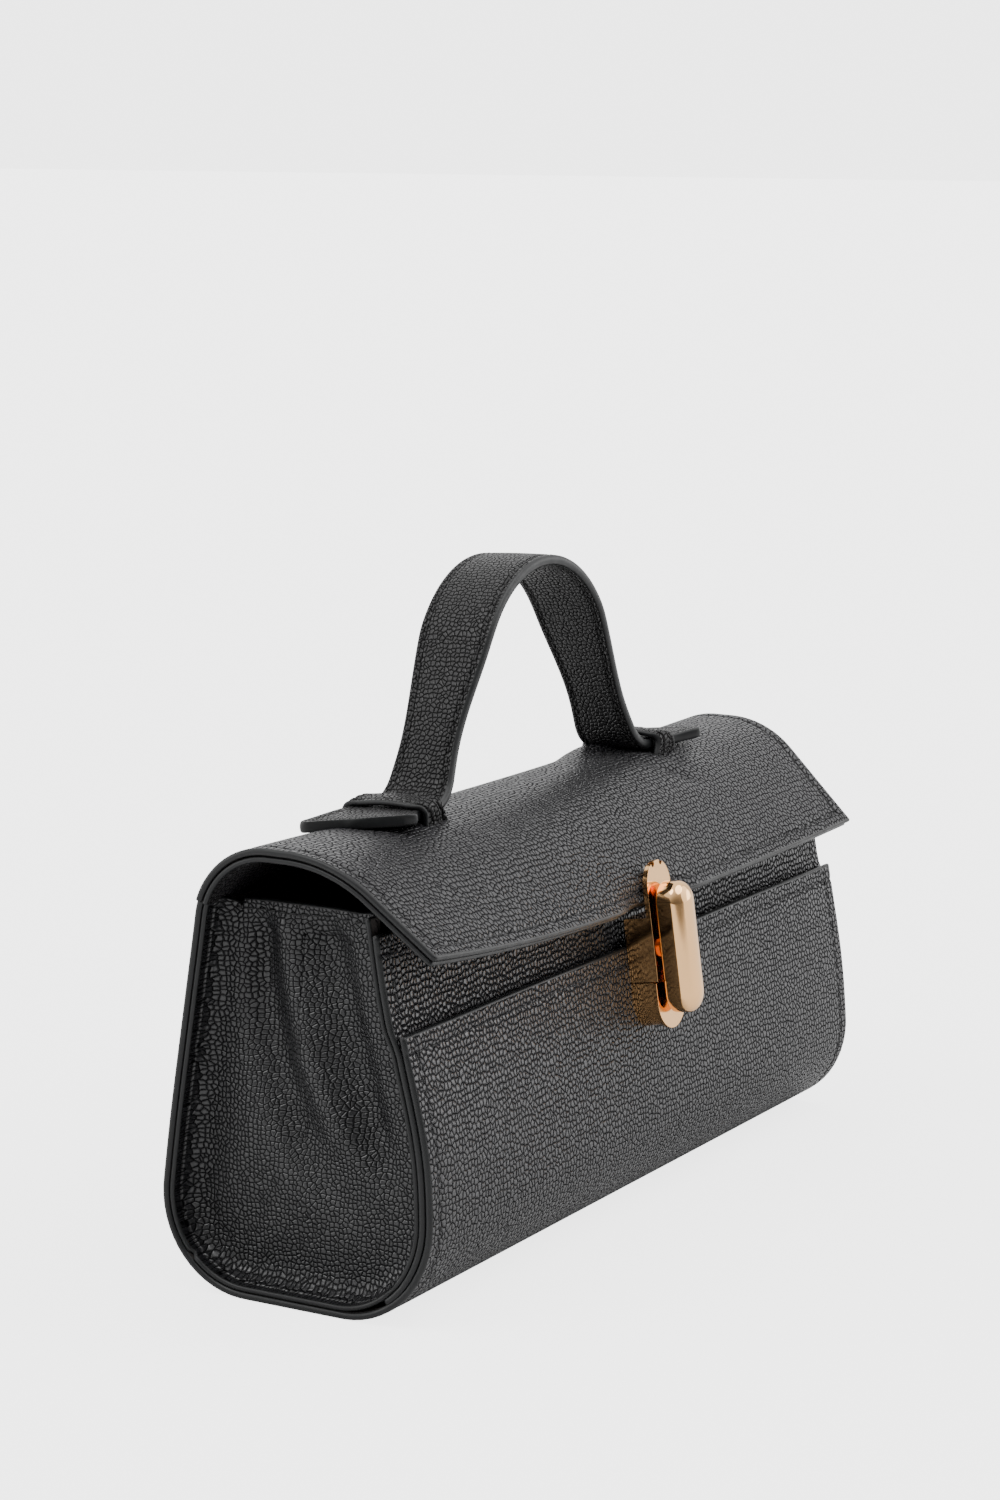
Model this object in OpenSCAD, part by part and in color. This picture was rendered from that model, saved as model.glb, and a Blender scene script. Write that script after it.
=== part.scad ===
// Structured flap bag with a short top handle and a two-part slide lock.
// X runs along the bag, the front faces -Y and Z is up; the origin is the middle of the base's underside.

/* [Body] */
// Length over the turned-out end flanges
body_length = 262; // [240:1:290]
// Height of the back wall up to the fold of the flap
fold_height = 109; // [102:1:116]
// Half of the depth at the fold
fold_half_depth = 30; // [28:0.5:33]
// Half of the depth at the widest, just above the base
foot_half_depth = 41.6; // [40:0.2:44]
// Radius of the long bottom edges
foot_radius = 26; // [22:0.5:28]
// Front wall's edge below the fold
front_drop = 4.2; // [4:0.2:9]
// Slip pocket's edge below the fold
pocket_drop = 30; // [21:1:39]
// Space for the hand in the slip pocket, pressed flat
pocket_slack = 0.6; // [0.4:0.1:1.5]

/* [Leather and boards] */
// Outer leather of the body
wall_leather = 2; // [1.6:0.1:2.4]
// Leather of the end walls
gusset_leather = 1.5; // [1.2:0.1:1.8]
// Stiffener board
board = 1.2; // [1:0.1:1.5]
// Lining
lining = 0.8; // [0.6:0.1:1]
// Glue line between two layers
glue = 0.1; // [0.06:0.01:0.15]
// Depth of the turned-out flange of an end wall
flange_depth = 8; // [6:0.5:10]
// Height of the stitched hem of an end wall above the fold
hem_rise = 0.5; // [0:0.1:0.8]
// Depth of the inward fold of an end wall at its hem
fold_in = 12; // [8:0.5:16]
// Half width of that inward fold
fold_in_half_width = 20; // [16:0.5:21]

/* [Flap] */
// Length of the flap
flap_length = 264; // [244:1:292]
// Height of the flap's ridge above the fold
ridge_rise = 16; // [15.5:0.5:17]
// Flat strip along the ridge
ridge_flat = 6; // [4:0.5:7]
// Bend radius behind the ridge
ridge_back_radius = 23.6; // [22:0.2:25]
// Bend radius in front of the ridge
ridge_front_radius = 38; // [34:0.5:42]
// Slope of the front of the flap at the lock, degrees below level
lock_slope = 52; // [50:0.5:54]
// Slope of the front of the flap at its ends, which stand off the bag
end_slope = 38; // [36:0.5:42]
// Length of the leather from the ridge to the edge at the lock
lock_fall = 62; // [61:0.5:63]
// Length of the leather from the ridge to the edge at the ends
end_fall = 59.5; // [58:0.5:62]
// Outer leather of the flap
flap_leather_thick = 2; // [1.8:0.1:2.2]
// Leather lining of the flap
flap_lining_thick = 1.1; // [1:0.1:1.2]
// Stiffener between the leather and the lining of the flap
flap_board_thick = 0.5; // [0.4:0.05:0.6]
// Distance of that stiffener from the flap's edges
flap_margin = 9; // [7:0.5:12]

/* [Handle] */
// Height of the handle above the ridge
handle_rise = 66.5; // [64:0.5:70]
// Radius of the top of the arch, outer face
arch_radius = 37; // [35:0.5:39]
// Steepness of the legs, degrees from level
leg_slope = 64.5; // [62:0.5:67]
// Radius of the bend at the foot of a leg
foot_bend_radius = 16; // [14:0.5:18]
// Width of the strap at the top and at the ends
strap_width = 24; // [22:0.5:26]
// Width of the strap low on the legs
strap_waist = 20.6; // [19:0.2:21.8]
// One leather layer of the strap
strap_layer = 1.65; // [1.5:0.05:1.8]
// Lean of the strap towards the back
strap_lean = 6.5; // [5:0.5:8]
// Middle of the strap in front of the ridge
strap_forward = 3; // [2:0.5:4]
// Length of a strap end beyond its loop
end_length = 17; // [15:0.5:20]
// Width of a strap end at its tip
end_width = 33; // [31:0.5:34]
// Corner radius of a strap end
end_corner = 6; // [4:0.5:7]

/* [Loops] */
// Inner edge of a loop, from the middle of the bag
loop_start = 58; // [57:0.5:60]
// Width of a loop along the bag
loop_width = 15; // [14:0.5:16]
// Leather of a loop
loop_leather = 2; // [1.7:0.1:2.2]
// Room above the strap inside a loop
loop_crown = 2.4; // [2:0.1:3]
// Space at each side of the strap inside a loop
loop_side_gap = 1; // [0.8:0.1:1.5]

/* [Lock] */
// Length of the front of the lock
lock_length = 48; // [46:0.5:50]
// Width of the front of the lock
lock_width = 14.2; // [13.6:0.1:15]
// Width of the lock where it meets the bag
lock_back_width = 15.6; // [15.2:0.2:17]
// Depth of the lock
lock_depth = 9; // [8.8:0.1:9.6]
// Middle of the lock below the fold
lock_drop = 29.8; // [29:0.2:30.4]
// Split between the upper and the lower part, below the middle
split_drop = 10.6; // [10:0.1:11.4]
// Thickness of the lock's front plate
plate_thick = 1.5; // [1.3:0.1:1.7]
// Lip round the lower case
lip_width = 1.2; // [0.8:0.1:1.6]
// Length of the domed slide
slide_length = 38.5; // [37:0.5:39.5]
// Width of the domed slide
slide_width = 12.2; // [11.6:0.1:12.8]
// Straight side of the slide
slide_side = 4.4; // [4:0.1:4.8]
// Height of its dome
slide_dome = 4; // [3.4:0.1:4.4]
// Space between the slide and the front plate
slide_gap = 1.2; // [1:0.1:1.8]
// Middle of the slide below the middle of the lock
slide_drop = 1.5; // [1.2:0.1:1.9]
// Travel of the slide, down to its locked place
slide_travel = 3; // [2.4:0.1:3]
// Clearance of a moving piece
slip = 0.3; // [0.3:0.02:0.4]

/* [Hidden] */
$fn = 96;
overrun = 1;
half_body = body_length / 2;
front_height = fold_height - front_drop;
pocket_height = fold_height - pocket_drop;
ridge_height = fold_height + ridge_rise;
handle_height = ridge_height + handle_rise;
lock_height = fold_height - lock_drop;
end_board_gap = 1;

// Body section: the long bottom edges are round and the walls lean in towards the fold.
foot_y = foot_half_depth - foot_radius;
fold_offset = fold_half_depth - foot_y;
fold_rise = fold_height - foot_radius;
fold_distance = norm([fold_offset, fold_rise]);
lean = atan2(fold_rise, fold_offset) - acos(foot_radius / fold_distance);
wall_out = [cos(lean), sin(lean)];
wall_up = [-sin(lean), cos(lean)];
wall_base = [foot_y, foot_radius] + foot_radius * wall_out;
section_reach = 2 * fold_height;

// Layers of the body, counted inwards from the outline.
pocket_lining_at = wall_leather + glue;
front_at = pocket_lining_at + lining + pocket_slack;
front_board_at = front_at + wall_leather + glue;
front_lining_at = front_board_at + board + glue;
back_board_at = wall_leather + glue;
back_lining_at = back_board_at + board + glue;
front_foot = 6.5;
lining_foot = 6;
wall_top_drop = 1.5;
fold_slit = 0.15;

// End walls
gusset_face = half_body - flange_depth;
gusset_top = fold_height + hem_rise;
hem_height = 8;
hem_extra = 1.2;
gusset_front_at = front_at + wall_leather + glue;
gusset_back_at = wall_leather + glue;
fold_in_middle = 2;
fold_in_foot = 15;
inner_end = gusset_face - gusset_leather - glue;
board_half = inner_end - lining - glue;

// Inner slip pocket on the back
inner_pocket_length = 140;
inner_pocket_depth = 64;
inner_pocket_drop = 21;
inner_pocket_top = fold_height - inner_pocket_drop;
inner_pocket_base = inner_pocket_top - inner_pocket_depth;
inner_pocket_seam = 8;
inner_pocket_at = back_lining_at + lining + glue;
inner_pocket_slack = 0.6;
inner_pocket_sheet = 1;

// Flap section
ridge_y = fold_half_depth + (-ridge_back_radius
    - sin(lean) * (ridge_height - ridge_back_radius - fold_height)) / cos(lean);
back_bend = [ridge_y, ridge_height - ridge_back_radius];
front_bend = [ridge_y - ridge_flat, ridge_height - ridge_front_radius];
flap_half = flap_length / 2;
flap_start = fold_height + fold_slit;
flap_spans = 20;
back_bend_steps = 9;
front_bend_steps = 6;
flap_board_at = flap_leather_thick + glue;
flap_lining_at = flap_board_at + flap_board_thick + glue;
flap_thick = flap_lining_at + flap_lining_thick;
lock_edge = flap_line(0, 0)[back_bend_steps + front_bend_steps + 3];
hem_back = flap_line(0, flap_thick)[0][0] - slip;

// Handle: the arch stands in its own plane, which leans back about the bend behind the ridge.
half_width = strap_width / 2;
strap_thick = 2 * strap_layer + glue;
strap_bed = ridge_height + slip;
strap_top = strap_bed + strap_thick;
arch_middle = [0, handle_height - arch_radius];
leg_along = [cos(leg_slope), -sin(leg_slope)];
leg_out = [sin(leg_slope), cos(leg_slope)];
leg_top = arch_middle + arch_radius * leg_out;
leg_foot_z = strap_top + foot_bend_radius * (1 - cos(leg_slope));
leg_run = (leg_top[1] - leg_foot_z) / sin(leg_slope);
leg_foot = leg_top + leg_run * leg_along;
foot_bend = leg_foot + foot_bend_radius * leg_out;
grip_depth = 23;
grip_base = handle_height - grip_depth;
waist_height = strap_top + foot_bend_radius;
seam = 0.5;
end_joint = loop_start + slip;

// Strap ends
mouth = loop_start + loop_width;
end_reach = mouth + end_length;
corner_y = end_width / 2 - end_corner;
corner_x = end_reach - end_corner;
flare_offset = [corner_x - mouth, corner_y - half_width];
flare_distance = norm(flare_offset);
flare_angle = atan2(flare_offset[1], flare_offset[0]) + asin(end_corner / flare_distance);
flare_touch = [corner_x, corner_y] + end_corner * [cos(flare_angle + 90), sin(flare_angle + 90)];

// Loops
loop_inner_half = half_width + loop_side_gap;
loop_inner_top = strap_top + loop_crown;
loop_shoulder_drop = 1.5;
loop_inner_radius = (pow(loop_inner_half, 2) + pow(loop_shoulder_drop, 2)) / (2 * loop_shoulder_drop);
loop_outer_half = loop_inner_half + loop_leather;
loop_outer_radius = loop_inner_radius + loop_leather;
loop_corner = 3.5;
loop_reach = 14;
backing_thick = 0.8;
backing_margin = 3;

// Lock, in its own frame: x along the bag, y up the front wall, z out from it.
lock_up = (lock_height - wall_base[1]) / cos(lean);
lock_radius = lock_width / 2;
lock_back_radius = lock_back_width / 2;
lock_straight = lock_length - lock_width;
split_y = -split_drop;
plate_back = lock_depth - plate_thick;
lock_wall = 1.4;
wall_slip = 0.4;
bar_top = 8.2;
bar_thick = 3;
neck_length = 8;
neck_width = 6;
bolt_width = 9;
bolt_thick = 2;
bolt_foot = split_y + slip;
bolt_head = 5.2;
bolt_back = plate_back - slip - bolt_thick;
slide_radius = slide_width / 2;
slide_straight = slide_length - slide_width;
slide_back = lock_depth + slide_gap;
dome_radius = (pow(slide_radius, 2) + pow(slide_dome, 2)) / (2 * slide_dome);
cover_thick = 1;
slot_depth = slide_travel + slip;
case_lip_radius = lock_radius + lip_width;
saddle_half = 4.5;
saddle_inset = 1.5;
saddle_top = lock_length / 2 - saddle_inset;

// Screws
screw_radius = 0.8;
screw_head_radius = 1.5;
screw_head = 0.9;
screw_fit = 0.05;
neck_screw_pitch = 4;
neck_screw_depth = 2.5;
case_screw_half_pitch = 4;
case_screw_drop = 16;
case_screw_depth = 5;
case_plate_half = 8;
clamp_half = 6;
clamp_length = 7;
clamp_thick = 1;
clamp_screw_half_pitch = 2.4;
clamp_screw_up = 9.2;
clamp_screw_bite = 1.6;

// Leaf spring behind the bolt
leaf_thick = 0.4;
leaf_width = 1.6;
leaf_half_pitch = 3.3;
leaf_half_run = 6.5;
leaf_middle = -1.4;

// Sections drawn across the bag, swept along it, and profiles seen from the front, swept front to back.

module along_bag(length) {
    rotate([90, 0, 90])
        linear_extrude(height = length, center = true)
            children();
}

module across_bag(depth) {
    rotate([90, 0, 0])
        linear_extrude(height = depth, center = true)
            children();
}

module band(low, high) {
    translate([-section_reach, low])
        square([2 * section_reach, high - low]);
}

module front_side() {
    translate([-section_reach, -section_reach])
        square([section_reach, 2 * section_reach]);
}

module back_side() {
    translate([0, -section_reach])
        square([section_reach, 2 * section_reach]);
}

// Body outline, moved inwards by inset

module body_area(inset, extra = 0) {
    top = wall_base - inset * wall_out + (section_reach / 2 + extra) * wall_up;
    side = wall_base - inset * wall_out;
    polygon([
        [-foot_y, inset], [foot_y, inset], side, top,
        [-top[0], top[1]], [-side[0], side[1]]
    ]);
    for (way = [-1, 1])
        translate([way * foot_y, foot_radius])
            circle(foot_radius - inset);
}

// A layer of the front wall: the outline moved back, so that its foot is skived away on the base.

module front_strip(from, thick, low, high) {
    shift = (from - gusset_back_at) / cos(lean);
    intersection() {
        difference() {
            translate([shift, 0])
                body_area(gusset_back_at);
            translate([shift + thick / cos(lean), 0])
                body_area(gusset_back_at, overrun);
        }
        band(low, high);
        front_side();
    }
}

module body_layer(from, thick) {
    difference() {
        body_area(from);
        body_area(from + thick, overrun);
    }
}

module wall_strip(from, thick, low, high) {
    intersection() {
        body_layer(from, thick);
        band(low, high);
    }
}

module body_wrap_section() {
    intersection() {
        wall_strip(0, wall_leather, -overrun, fold_height - fold_slit);
        union() {
            band(-overrun, pocket_height);
            back_side();
        }
    }
}

module body_wrap() {
    color("#202022")
        difference() {
            along_bag(body_length)
                body_wrap_section();
            on_lock()
                case_screw_holes();
        }
}

module front_panel() {
    color("#1c1c1e") {
        along_bag(body_length)
            front_strip(front_at, wall_leather, front_foot, front_height);
        for (way = [-1, 1])
            translate([way * (half_body - flange_depth / 4), 0, 0])
                along_bag(flange_depth / 2)
                    front_strip(gusset_back_at, front_at - gusset_back_at + glue, front_foot, pocket_height);
    }
}

module pocket_lining() {
    color("#3b3634")
        difference() {
            along_bag(body_length - flange_depth - 2 * end_board_gap)
                front_strip(pocket_lining_at, lining, foot_radius, pocket_height - wall_top_drop);
            on_lock()
                translate([0, 0, -pocket_lining_at])
                    case_plate_shape(glue, 2 * lining);
        }
}

module back_board() {
    color("#8a7a62")
        along_bag(2 * board_half)
            intersection() {
                wall_strip(back_board_at, board, wall_base[1], fold_height - wall_top_drop);
                back_side();
            }
}

module front_board() {
    color("#8a7a62")
        along_bag(2 * board_half)
            front_strip(front_board_at, board, wall_base[1], front_height - wall_top_drop);
}

module base_board() {
    color("#8a7a62")
        translate([-board_half, -foot_y, wall_leather + glue])
            cube([2 * board_half, 2 * foot_y, board]);
}

module back_lining() {
    color("#5a4a3e")
        along_bag(2 * board_half)
            intersection() {
                wall_strip(back_lining_at, lining, 0, fold_height - wall_top_drop);
                translate([foot_y, 0])
                    square([section_reach, section_reach]);
            }
}

module base_lining() {
    color("#5a4a3e")
        translate([-board_half, -foot_y, back_lining_at])
            cube([2 * board_half, 2 * foot_y - glue, lining]);
}

module front_lining() {
    color("#5a4a3e")
        along_bag(2 * board_half)
            front_strip(front_lining_at, lining, lining_foot, front_height - wall_top_drop);
}

module inner_pocket() {
    seam_length = inner_pocket_length - 2 * inner_pocket_seam;
    seam_top = inner_pocket_top - wall_top_drop;
    color("#4a3c33") {
        along_bag(inner_pocket_length)
            intersection() {
                wall_strip(inner_pocket_at + inner_pocket_slack, inner_pocket_sheet,
                    inner_pocket_base, inner_pocket_top);
                back_side();
            }
        difference() {
            along_bag(inner_pocket_length)
                intersection() {
                    wall_strip(inner_pocket_at, inner_pocket_slack, inner_pocket_base, seam_top);
                    back_side();
                }
            along_bag(seam_length)
                intersection() {
                    wall_strip(inner_pocket_at - glue, inner_pocket_slack + glue,
                        inner_pocket_base + inner_pocket_seam, inner_pocket_top);
                    back_side();
                }
        }
    }
}

// End wall: its outline is the space between the front panel and the back wall.

module gusset_area(inset, extra = 0) {
    intersection() {
        body_area(gusset_back_at + inset, extra);
        translate([(gusset_front_at - gusset_back_at) / cos(lean), 0])
            body_area(gusset_back_at + inset, extra);
    }
}

module fold_pit(face_x) {
    apex = [face_x - fold_in, fold_in_middle, gusset_top + overrun];
    spread = (fold_in + overrun) / fold_in;
    foot = [face_x, fold_in_middle, fold_in_foot];
    near = [face_x, fold_in_middle - fold_in_half_width, gusset_top + overrun];
    far = [face_x, fold_in_middle + fold_in_half_width, gusset_top + overrun];
    polyhedron(
        points = [apex, apex + spread * (foot - apex), apex + spread * (near - apex),
            apex + spread * (far - apex)],
        faces = [[0, 2, 1], [0, 1, 3], [0, 3, 2], [1, 2, 3]]
    );
}

module folded_sheet(face_x, thick, inset, low, high) {
    intersection() {
        difference() {
            union() {
                translate([face_x - thick / 2, 0, 0])
                    along_bag(thick)
                        gusset_area(inset);
                fold_pit(face_x - thick);
            }
            fold_pit(face_x);
        }
        translate([0, -section_reach / 2, low])
            cube([face_x, section_reach, high - low]);
    }
}

module gusset() {
    translate([gusset_face - gusset_leather + (flange_depth + gusset_leather) / 2, 0, 0])
        along_bag(flange_depth + gusset_leather)
            intersection() {
                difference() {
                    gusset_area(0);
                    gusset_area(gusset_leather, overrun);
                }
                union() {
                    band(0, front_height);
                    intersection() {
                        band(0, fold_height - wall_top_drop);
                        back_side();
                    }
                }
            }
    difference() {
        union() {
            folded_sheet(gusset_face, gusset_leather, 0, 0, gusset_top);
            folded_sheet(gusset_face + hem_extra, gusset_leather + hem_extra, 0, gusset_top - hem_height,
                gusset_top);
        }
        translate([0, hem_back, fold_height - fold_slit])
            cube([half_body, fold_half_depth, hem_height]);
    }
}

module gusset_right() {
    color("#171718")
        gusset();
}

module gusset_left() {
    color("#171718")
        mirror([1, 0, 0])
            gusset();
}

module gusset_lining() {
    folded_sheet(inner_end, lining, gusset_leather + glue, 0, gusset_top - wall_top_drop);
}

module gusset_lining_right() {
    color("#5a4a3e")
        gusset_lining();
}

module gusset_lining_left() {
    color("#5a4a3e")
        mirror([1, 0, 0])
            gusset_lining();
}

// Flap: the bend over the ridge is the same all along, and the slope in front steepens towards the lock.

function end_share(x) = pow(x / flap_half, 2);

function flap_slope(x) = lock_slope + (end_slope - lock_slope) * end_share(x);

function flap_run(x) = lock_fall + (end_fall - lock_fall) * end_share(x)
    - ridge_flat - ridge_front_radius * flap_slope(x) * PI / 180;

function flap_line(x, inset) =
    let (
        slope = flap_slope(x),
        first = asin((flap_start - back_bend[1]) / (ridge_back_radius - inset)),
        last = front_bend + (ridge_front_radius - inset) * [-sin(slope), cos(slope)]
    )
    concat(
        [for (i = [0 : back_bend_steps])
            let (a = first + (90 - first) * i / back_bend_steps)
                back_bend + (ridge_back_radius - inset) * [cos(a), sin(a)]],
        [for (i = [0 : front_bend_steps])
            let (a = slope * i / front_bend_steps)
                front_bend + (ridge_front_radius - inset) * [-sin(a), cos(a)]],
        [for (trim = [flap_margin, 0]) last + (flap_run(x) - trim) * [-cos(slope), -sin(slope)]]
    );

function flap_part(x, inset, short) =
    let (line = flap_line(x, inset)) [for (j = [short : len(line) - 1 - short]) line[j]];

module flap_sheet(from, thick, short = 0) {
    row = len(flap_part(0, from, short));
    ring = 2 * row;
    stations = [for (i = [0 : flap_spans]) flap_length * (i / flap_spans - 0.5)];
    points = [
        for (x = stations)
            let (
                outer = flap_part(x, from, short),
                inner = flap_part(x, from + thick, short)
            )
                for (j = [0 : ring - 1])
                    let (p = j < row ? outer[j] : inner[ring - 1 - j])
                        [x, p[0], p[1]]
    ];
    sides = [
        for (i = [0 : flap_spans - 1])
            for (j = [0 : ring - 1])
                let (a = i * ring + j, b = i * ring + (j + 1) % ring)
                    each j < row
                        ? [[a, b + ring, a + ring], [a, b, b + ring]]
                        : [[a, b, a + ring], [b, b + ring, a + ring]]
    ];
    caps = [
        for (j = [0 : row - 2])
            let (a = j, b = ring - 1 - j, far = flap_spans * ring)
                each [[b, b - 1, a + 1, a], [far + a, far + a + 1, far + b - 1, far + b]]
    ];
    polyhedron(points = points, faces = concat(sides, caps), convexity = 6);
}

// Space under the bend of the flap, seen from the end

module flap_inside(inset) {
    intersection() {
        translate(back_bend)
            circle(ridge_back_radius - inset);
        translate([front_bend[0], back_bend[1]])
            square([section_reach, section_reach]);
    }
    intersection() {
        translate(front_bend)
            circle(ridge_front_radius - inset);
        translate(front_bend - [section_reach, 0])
            square([section_reach + seam, section_reach]);
    }
    translate(front_bend)
        square([ridge_flat, ridge_front_radius - inset]);
    translate(front_bend)
        square([ridge_flat + ridge_back_radius - inset, ridge_front_radius - ridge_back_radius]);
}

module slope_frame() {
    translate([0, lock_edge[0], lock_edge[1]])
        rotate([lock_slope, 0, 0])
            children();
}

module clamp_screw_holes(radius) {
    for (way = [-1, 1])
        slope_frame()
            translate([way * clamp_screw_half_pitch, clamp_screw_up, 0])
                cylinder(r = radius, h = 4 * flap_thick, center = true);
}

module lock_notch() {
    on_lock()
        translate([0, 0, plate_back - glue])
            linear_extrude(height = lock_depth)
                obround(lock_length - lock_width, lock_radius + glue);
}

module loop_leg_slits() {
    for (way = [-1, 1])
        for (side = [-1, 1])
            in_strap_plane()
                translate([way * (loop_start + loop_width / 2),
                        side * (loop_inner_half + loop_leather / 2), ridge_height - loop_reach / 2])
                    cube([loop_width + 2 * glue, loop_leather + 2 * glue, 2 * loop_reach], center = true);
}

module flap_leather() {
    color("#232325")
        difference() {
            flap_sheet(0, flap_leather_thick);
            loop_leg_slits();
            lock_notch();
            clamp_screw_holes(screw_radius + screw_fit);
        }
}

module flap_board() {
    half = flap_half - flap_margin;
    color("#8a7a62")
        difference() {
            intersection() {
                flap_sheet(flap_board_at, flap_board_thick, 1);
                translate([-half, -section_reach, 0])
                    cube([2 * half, 2 * section_reach, section_reach]);
            }
            loop_leg_slits();
            clamp_screw_holes(screw_radius + screw_fit);
        }
}

module flap_lining() {
    color("#2a2624")
        difference() {
            flap_sheet(flap_lining_at, flap_lining_thick);
            loop_leg_slits();
            lock_notch();
            clamp_screw_holes(screw_radius + screw_fit);
        }
}

// Loops stand square to the leaning strap; their feet pass through slits in the flap.

module in_strap_plane() {
    translate([0, back_bend[0], back_bend[1]])
        rotate([-strap_lean, 0, 0])
            translate([0, -strap_forward, -back_bend[1]])
                children();
}

module loop_outline(half, top, radius, corner) {
    intersection() {
        translate([0, top - radius])
            circle(radius);
        union() {
            translate([-half, ridge_height - loop_reach])
                square([2 * half, loop_reach + loop_crown]);
            translate([-half + corner, ridge_height])
                square([2 * (half - corner), section_reach]);
            for (way = [-1, 1])
                translate([way * (half - corner), ridge_height + loop_crown])
                    circle(corner);
        }
    }
}

module handle_loop() {
    translate([loop_start + loop_width / 2, 0, 0])
        difference() {
            in_strap_plane()
                along_bag(loop_width)
                    difference() {
                        loop_outline(loop_outer_half, loop_inner_top + loop_leather, loop_outer_radius,
                            loop_corner);
                        loop_outline(loop_inner_half, loop_inner_top, loop_inner_radius,
                            loop_corner - loop_leather);
                        translate([-loop_inner_half, ridge_height - loop_reach - overrun])
                            square([2 * loop_inner_half, loop_reach]);
                    }
            along_bag(loop_width + overrun)
                flap_inside(flap_thick + glue);
        }
}

module handle_loop_right() {
    color("#1f1f21")
        handle_loop();
}

module handle_loop_left() {
    color("#1f1f21")
        mirror([1, 0, 0])
            handle_loop();
}

module loop_backing() {
    translate([loop_start + loop_width / 2, 0, 0])
        along_bag(loop_width + 2 * backing_margin)
            intersection() {
                difference() {
                    flap_inside(flap_thick + 2 * glue);
                    flap_inside(flap_thick + 2 * glue + backing_thick);
                }
                translate([ridge_y - strap_forward - half_width - backing_margin - 2 * loop_leather,
                        fold_height + hem_rise + 2 * overrun])
                    square([strap_width + 2 * (backing_margin + 2 * loop_leather), section_reach]);
            }
}

module loop_backing_right() {
    color("#5a4a3e")
        loop_backing();
}

module loop_backing_left() {
    color("#5a4a3e")
        mirror([1, 0, 0])
            loop_backing();
}

// Strap seen from the front, for the layer that starts at inset from the outer face: the top of the arch,
// the straight leg and the bend at its foot.

module ring_sector(middle, outer, inner, corner) {
    translate(middle)
        intersection() {
            difference() {
                circle(outer);
                circle(inner);
            }
            polygon([[0, 0], section_reach * corner, [0, 2 * section_reach * sign(corner[1])]]);
        }
}

module strap_run(inset) {
    deep = inset + strap_layer;
    upper = leg_top - seam * leg_along;
    lower = leg_foot + seam * leg_along;
    across_bag(strap_width)
        ring_sector(arch_middle, arch_radius - inset, arch_radius - deep, leg_out);
    across_bag(strap_width)
        polygon([upper - inset * leg_out, lower - inset * leg_out, lower - deep * leg_out,
            upper - deep * leg_out]);
    across_bag(strap_width)
        ring_sector(foot_bend, foot_bend_radius + deep, foot_bend_radius + inset, -leg_out);
}

module strap_sides() {
    along_bag(section_reach * 2)
        polygon([
            [-half_width, handle_height + overrun], [half_width, handle_height + overrun],
            [half_width, grip_base], [strap_waist / 2, waist_height],
            [half_width, strap_bed], [half_width, strap_bed - overrun],
            [-half_width, strap_bed - overrun], [-half_width, strap_bed],
            [-strap_waist / 2, waist_height], [-half_width, grip_base]
        ]);
}

module strap_piece(inset, low, high) {
    in_strap_plane()
        intersection() {
            strap_run(inset);
            translate([0, -half_width, low])
                cube([loop_start, strap_width, high - low]);
            strap_sides();
        }
}

module handle_top_layer(inset) {
    for (side = [0, 1])
        mirror([side, 0, 0])
            strap_piece(inset, grip_base, handle_height + overrun);
}

module handle_top() {
    color("#222224")
        handle_top_layer(0);
}

module handle_top_lining() {
    color("#222224")
        handle_top_layer(strap_layer + glue);
}

module handle_leg_right() {
    color("#222224")
        strap_piece(0, strap_bed, grip_base - glue);
}

module handle_leg_left() {
    color("#222224")
        mirror([1, 0, 0])
            strap_piece(0, strap_bed, grip_base - glue);
}

module handle_leg_lining_right() {
    color("#222224")
        strap_piece(strap_layer + glue, strap_bed, grip_base - glue);
}

module handle_leg_lining_left() {
    color("#222224")
        mirror([1, 0, 0])
            strap_piece(strap_layer + glue, strap_bed, grip_base - glue);
}

// Flared end of the strap, seen from above

module end_outline() {
    polygon([
        [end_joint, -half_width], [mouth, -half_width], [flare_touch[0], -flare_touch[1]],
        [corner_x, -corner_y], [end_reach, -corner_y], [end_reach, corner_y], [corner_x, corner_y],
        flare_touch, [mouth, half_width], [end_joint, half_width]
    ]);
    for (way = [-1, 1])
        translate([corner_x, way * corner_y])
            circle(end_corner);
}

module strap_end(height) {
    in_strap_plane()
        translate([0, 0, height])
            linear_extrude(height = strap_layer)
                end_outline();
}

module handle_end_right() {
    color("#222224")
        strap_end(strap_bed + strap_layer + glue);
}

module handle_end_left() {
    color("#222224")
        mirror([1, 0, 0])
            strap_end(strap_bed + strap_layer + glue);
}

module handle_end_lining_right() {
    color("#222224")
        strap_end(strap_bed);
}

module handle_end_lining_left() {
    color("#222224")
        mirror([1, 0, 0])
            strap_end(strap_bed);
}

// Lock

module on_lock() {
    translate([0, -wall_base[0], wall_base[1]])
        rotate([90 - lean, 0, 0])
            translate([0, lock_up, 0])
                children();
}

module obround(straight, radius) {
    square([2 * radius, straight], center = true);
    for (way = [-1, 1])
        translate([0, way * straight / 2])
            circle(radius);
}

module lock_block(back_radius, front_radius, height) {
    for (way = [-1, 1])
        translate([0, way * lock_straight / 2, 0])
            cylinder(r1 = back_radius, r2 = front_radius, h = height);
    rotate([90, 0, 0])
        linear_extrude(height = lock_straight, center = true)
            polygon([[-back_radius, 0], [back_radius, 0], [front_radius, height], [-front_radius, height]]);
}

module lock_slab(low, high, from, to) {
    translate([-lock_back_width, low, from])
        cube([2 * lock_back_width, high - low, to - from]);
}

module upper_box(shrink) {
    translate([0, 0, wall_slip])
        lock_block(lock_back_radius - shrink, lock_radius - shrink, lock_depth - wall_slip);
}

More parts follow.
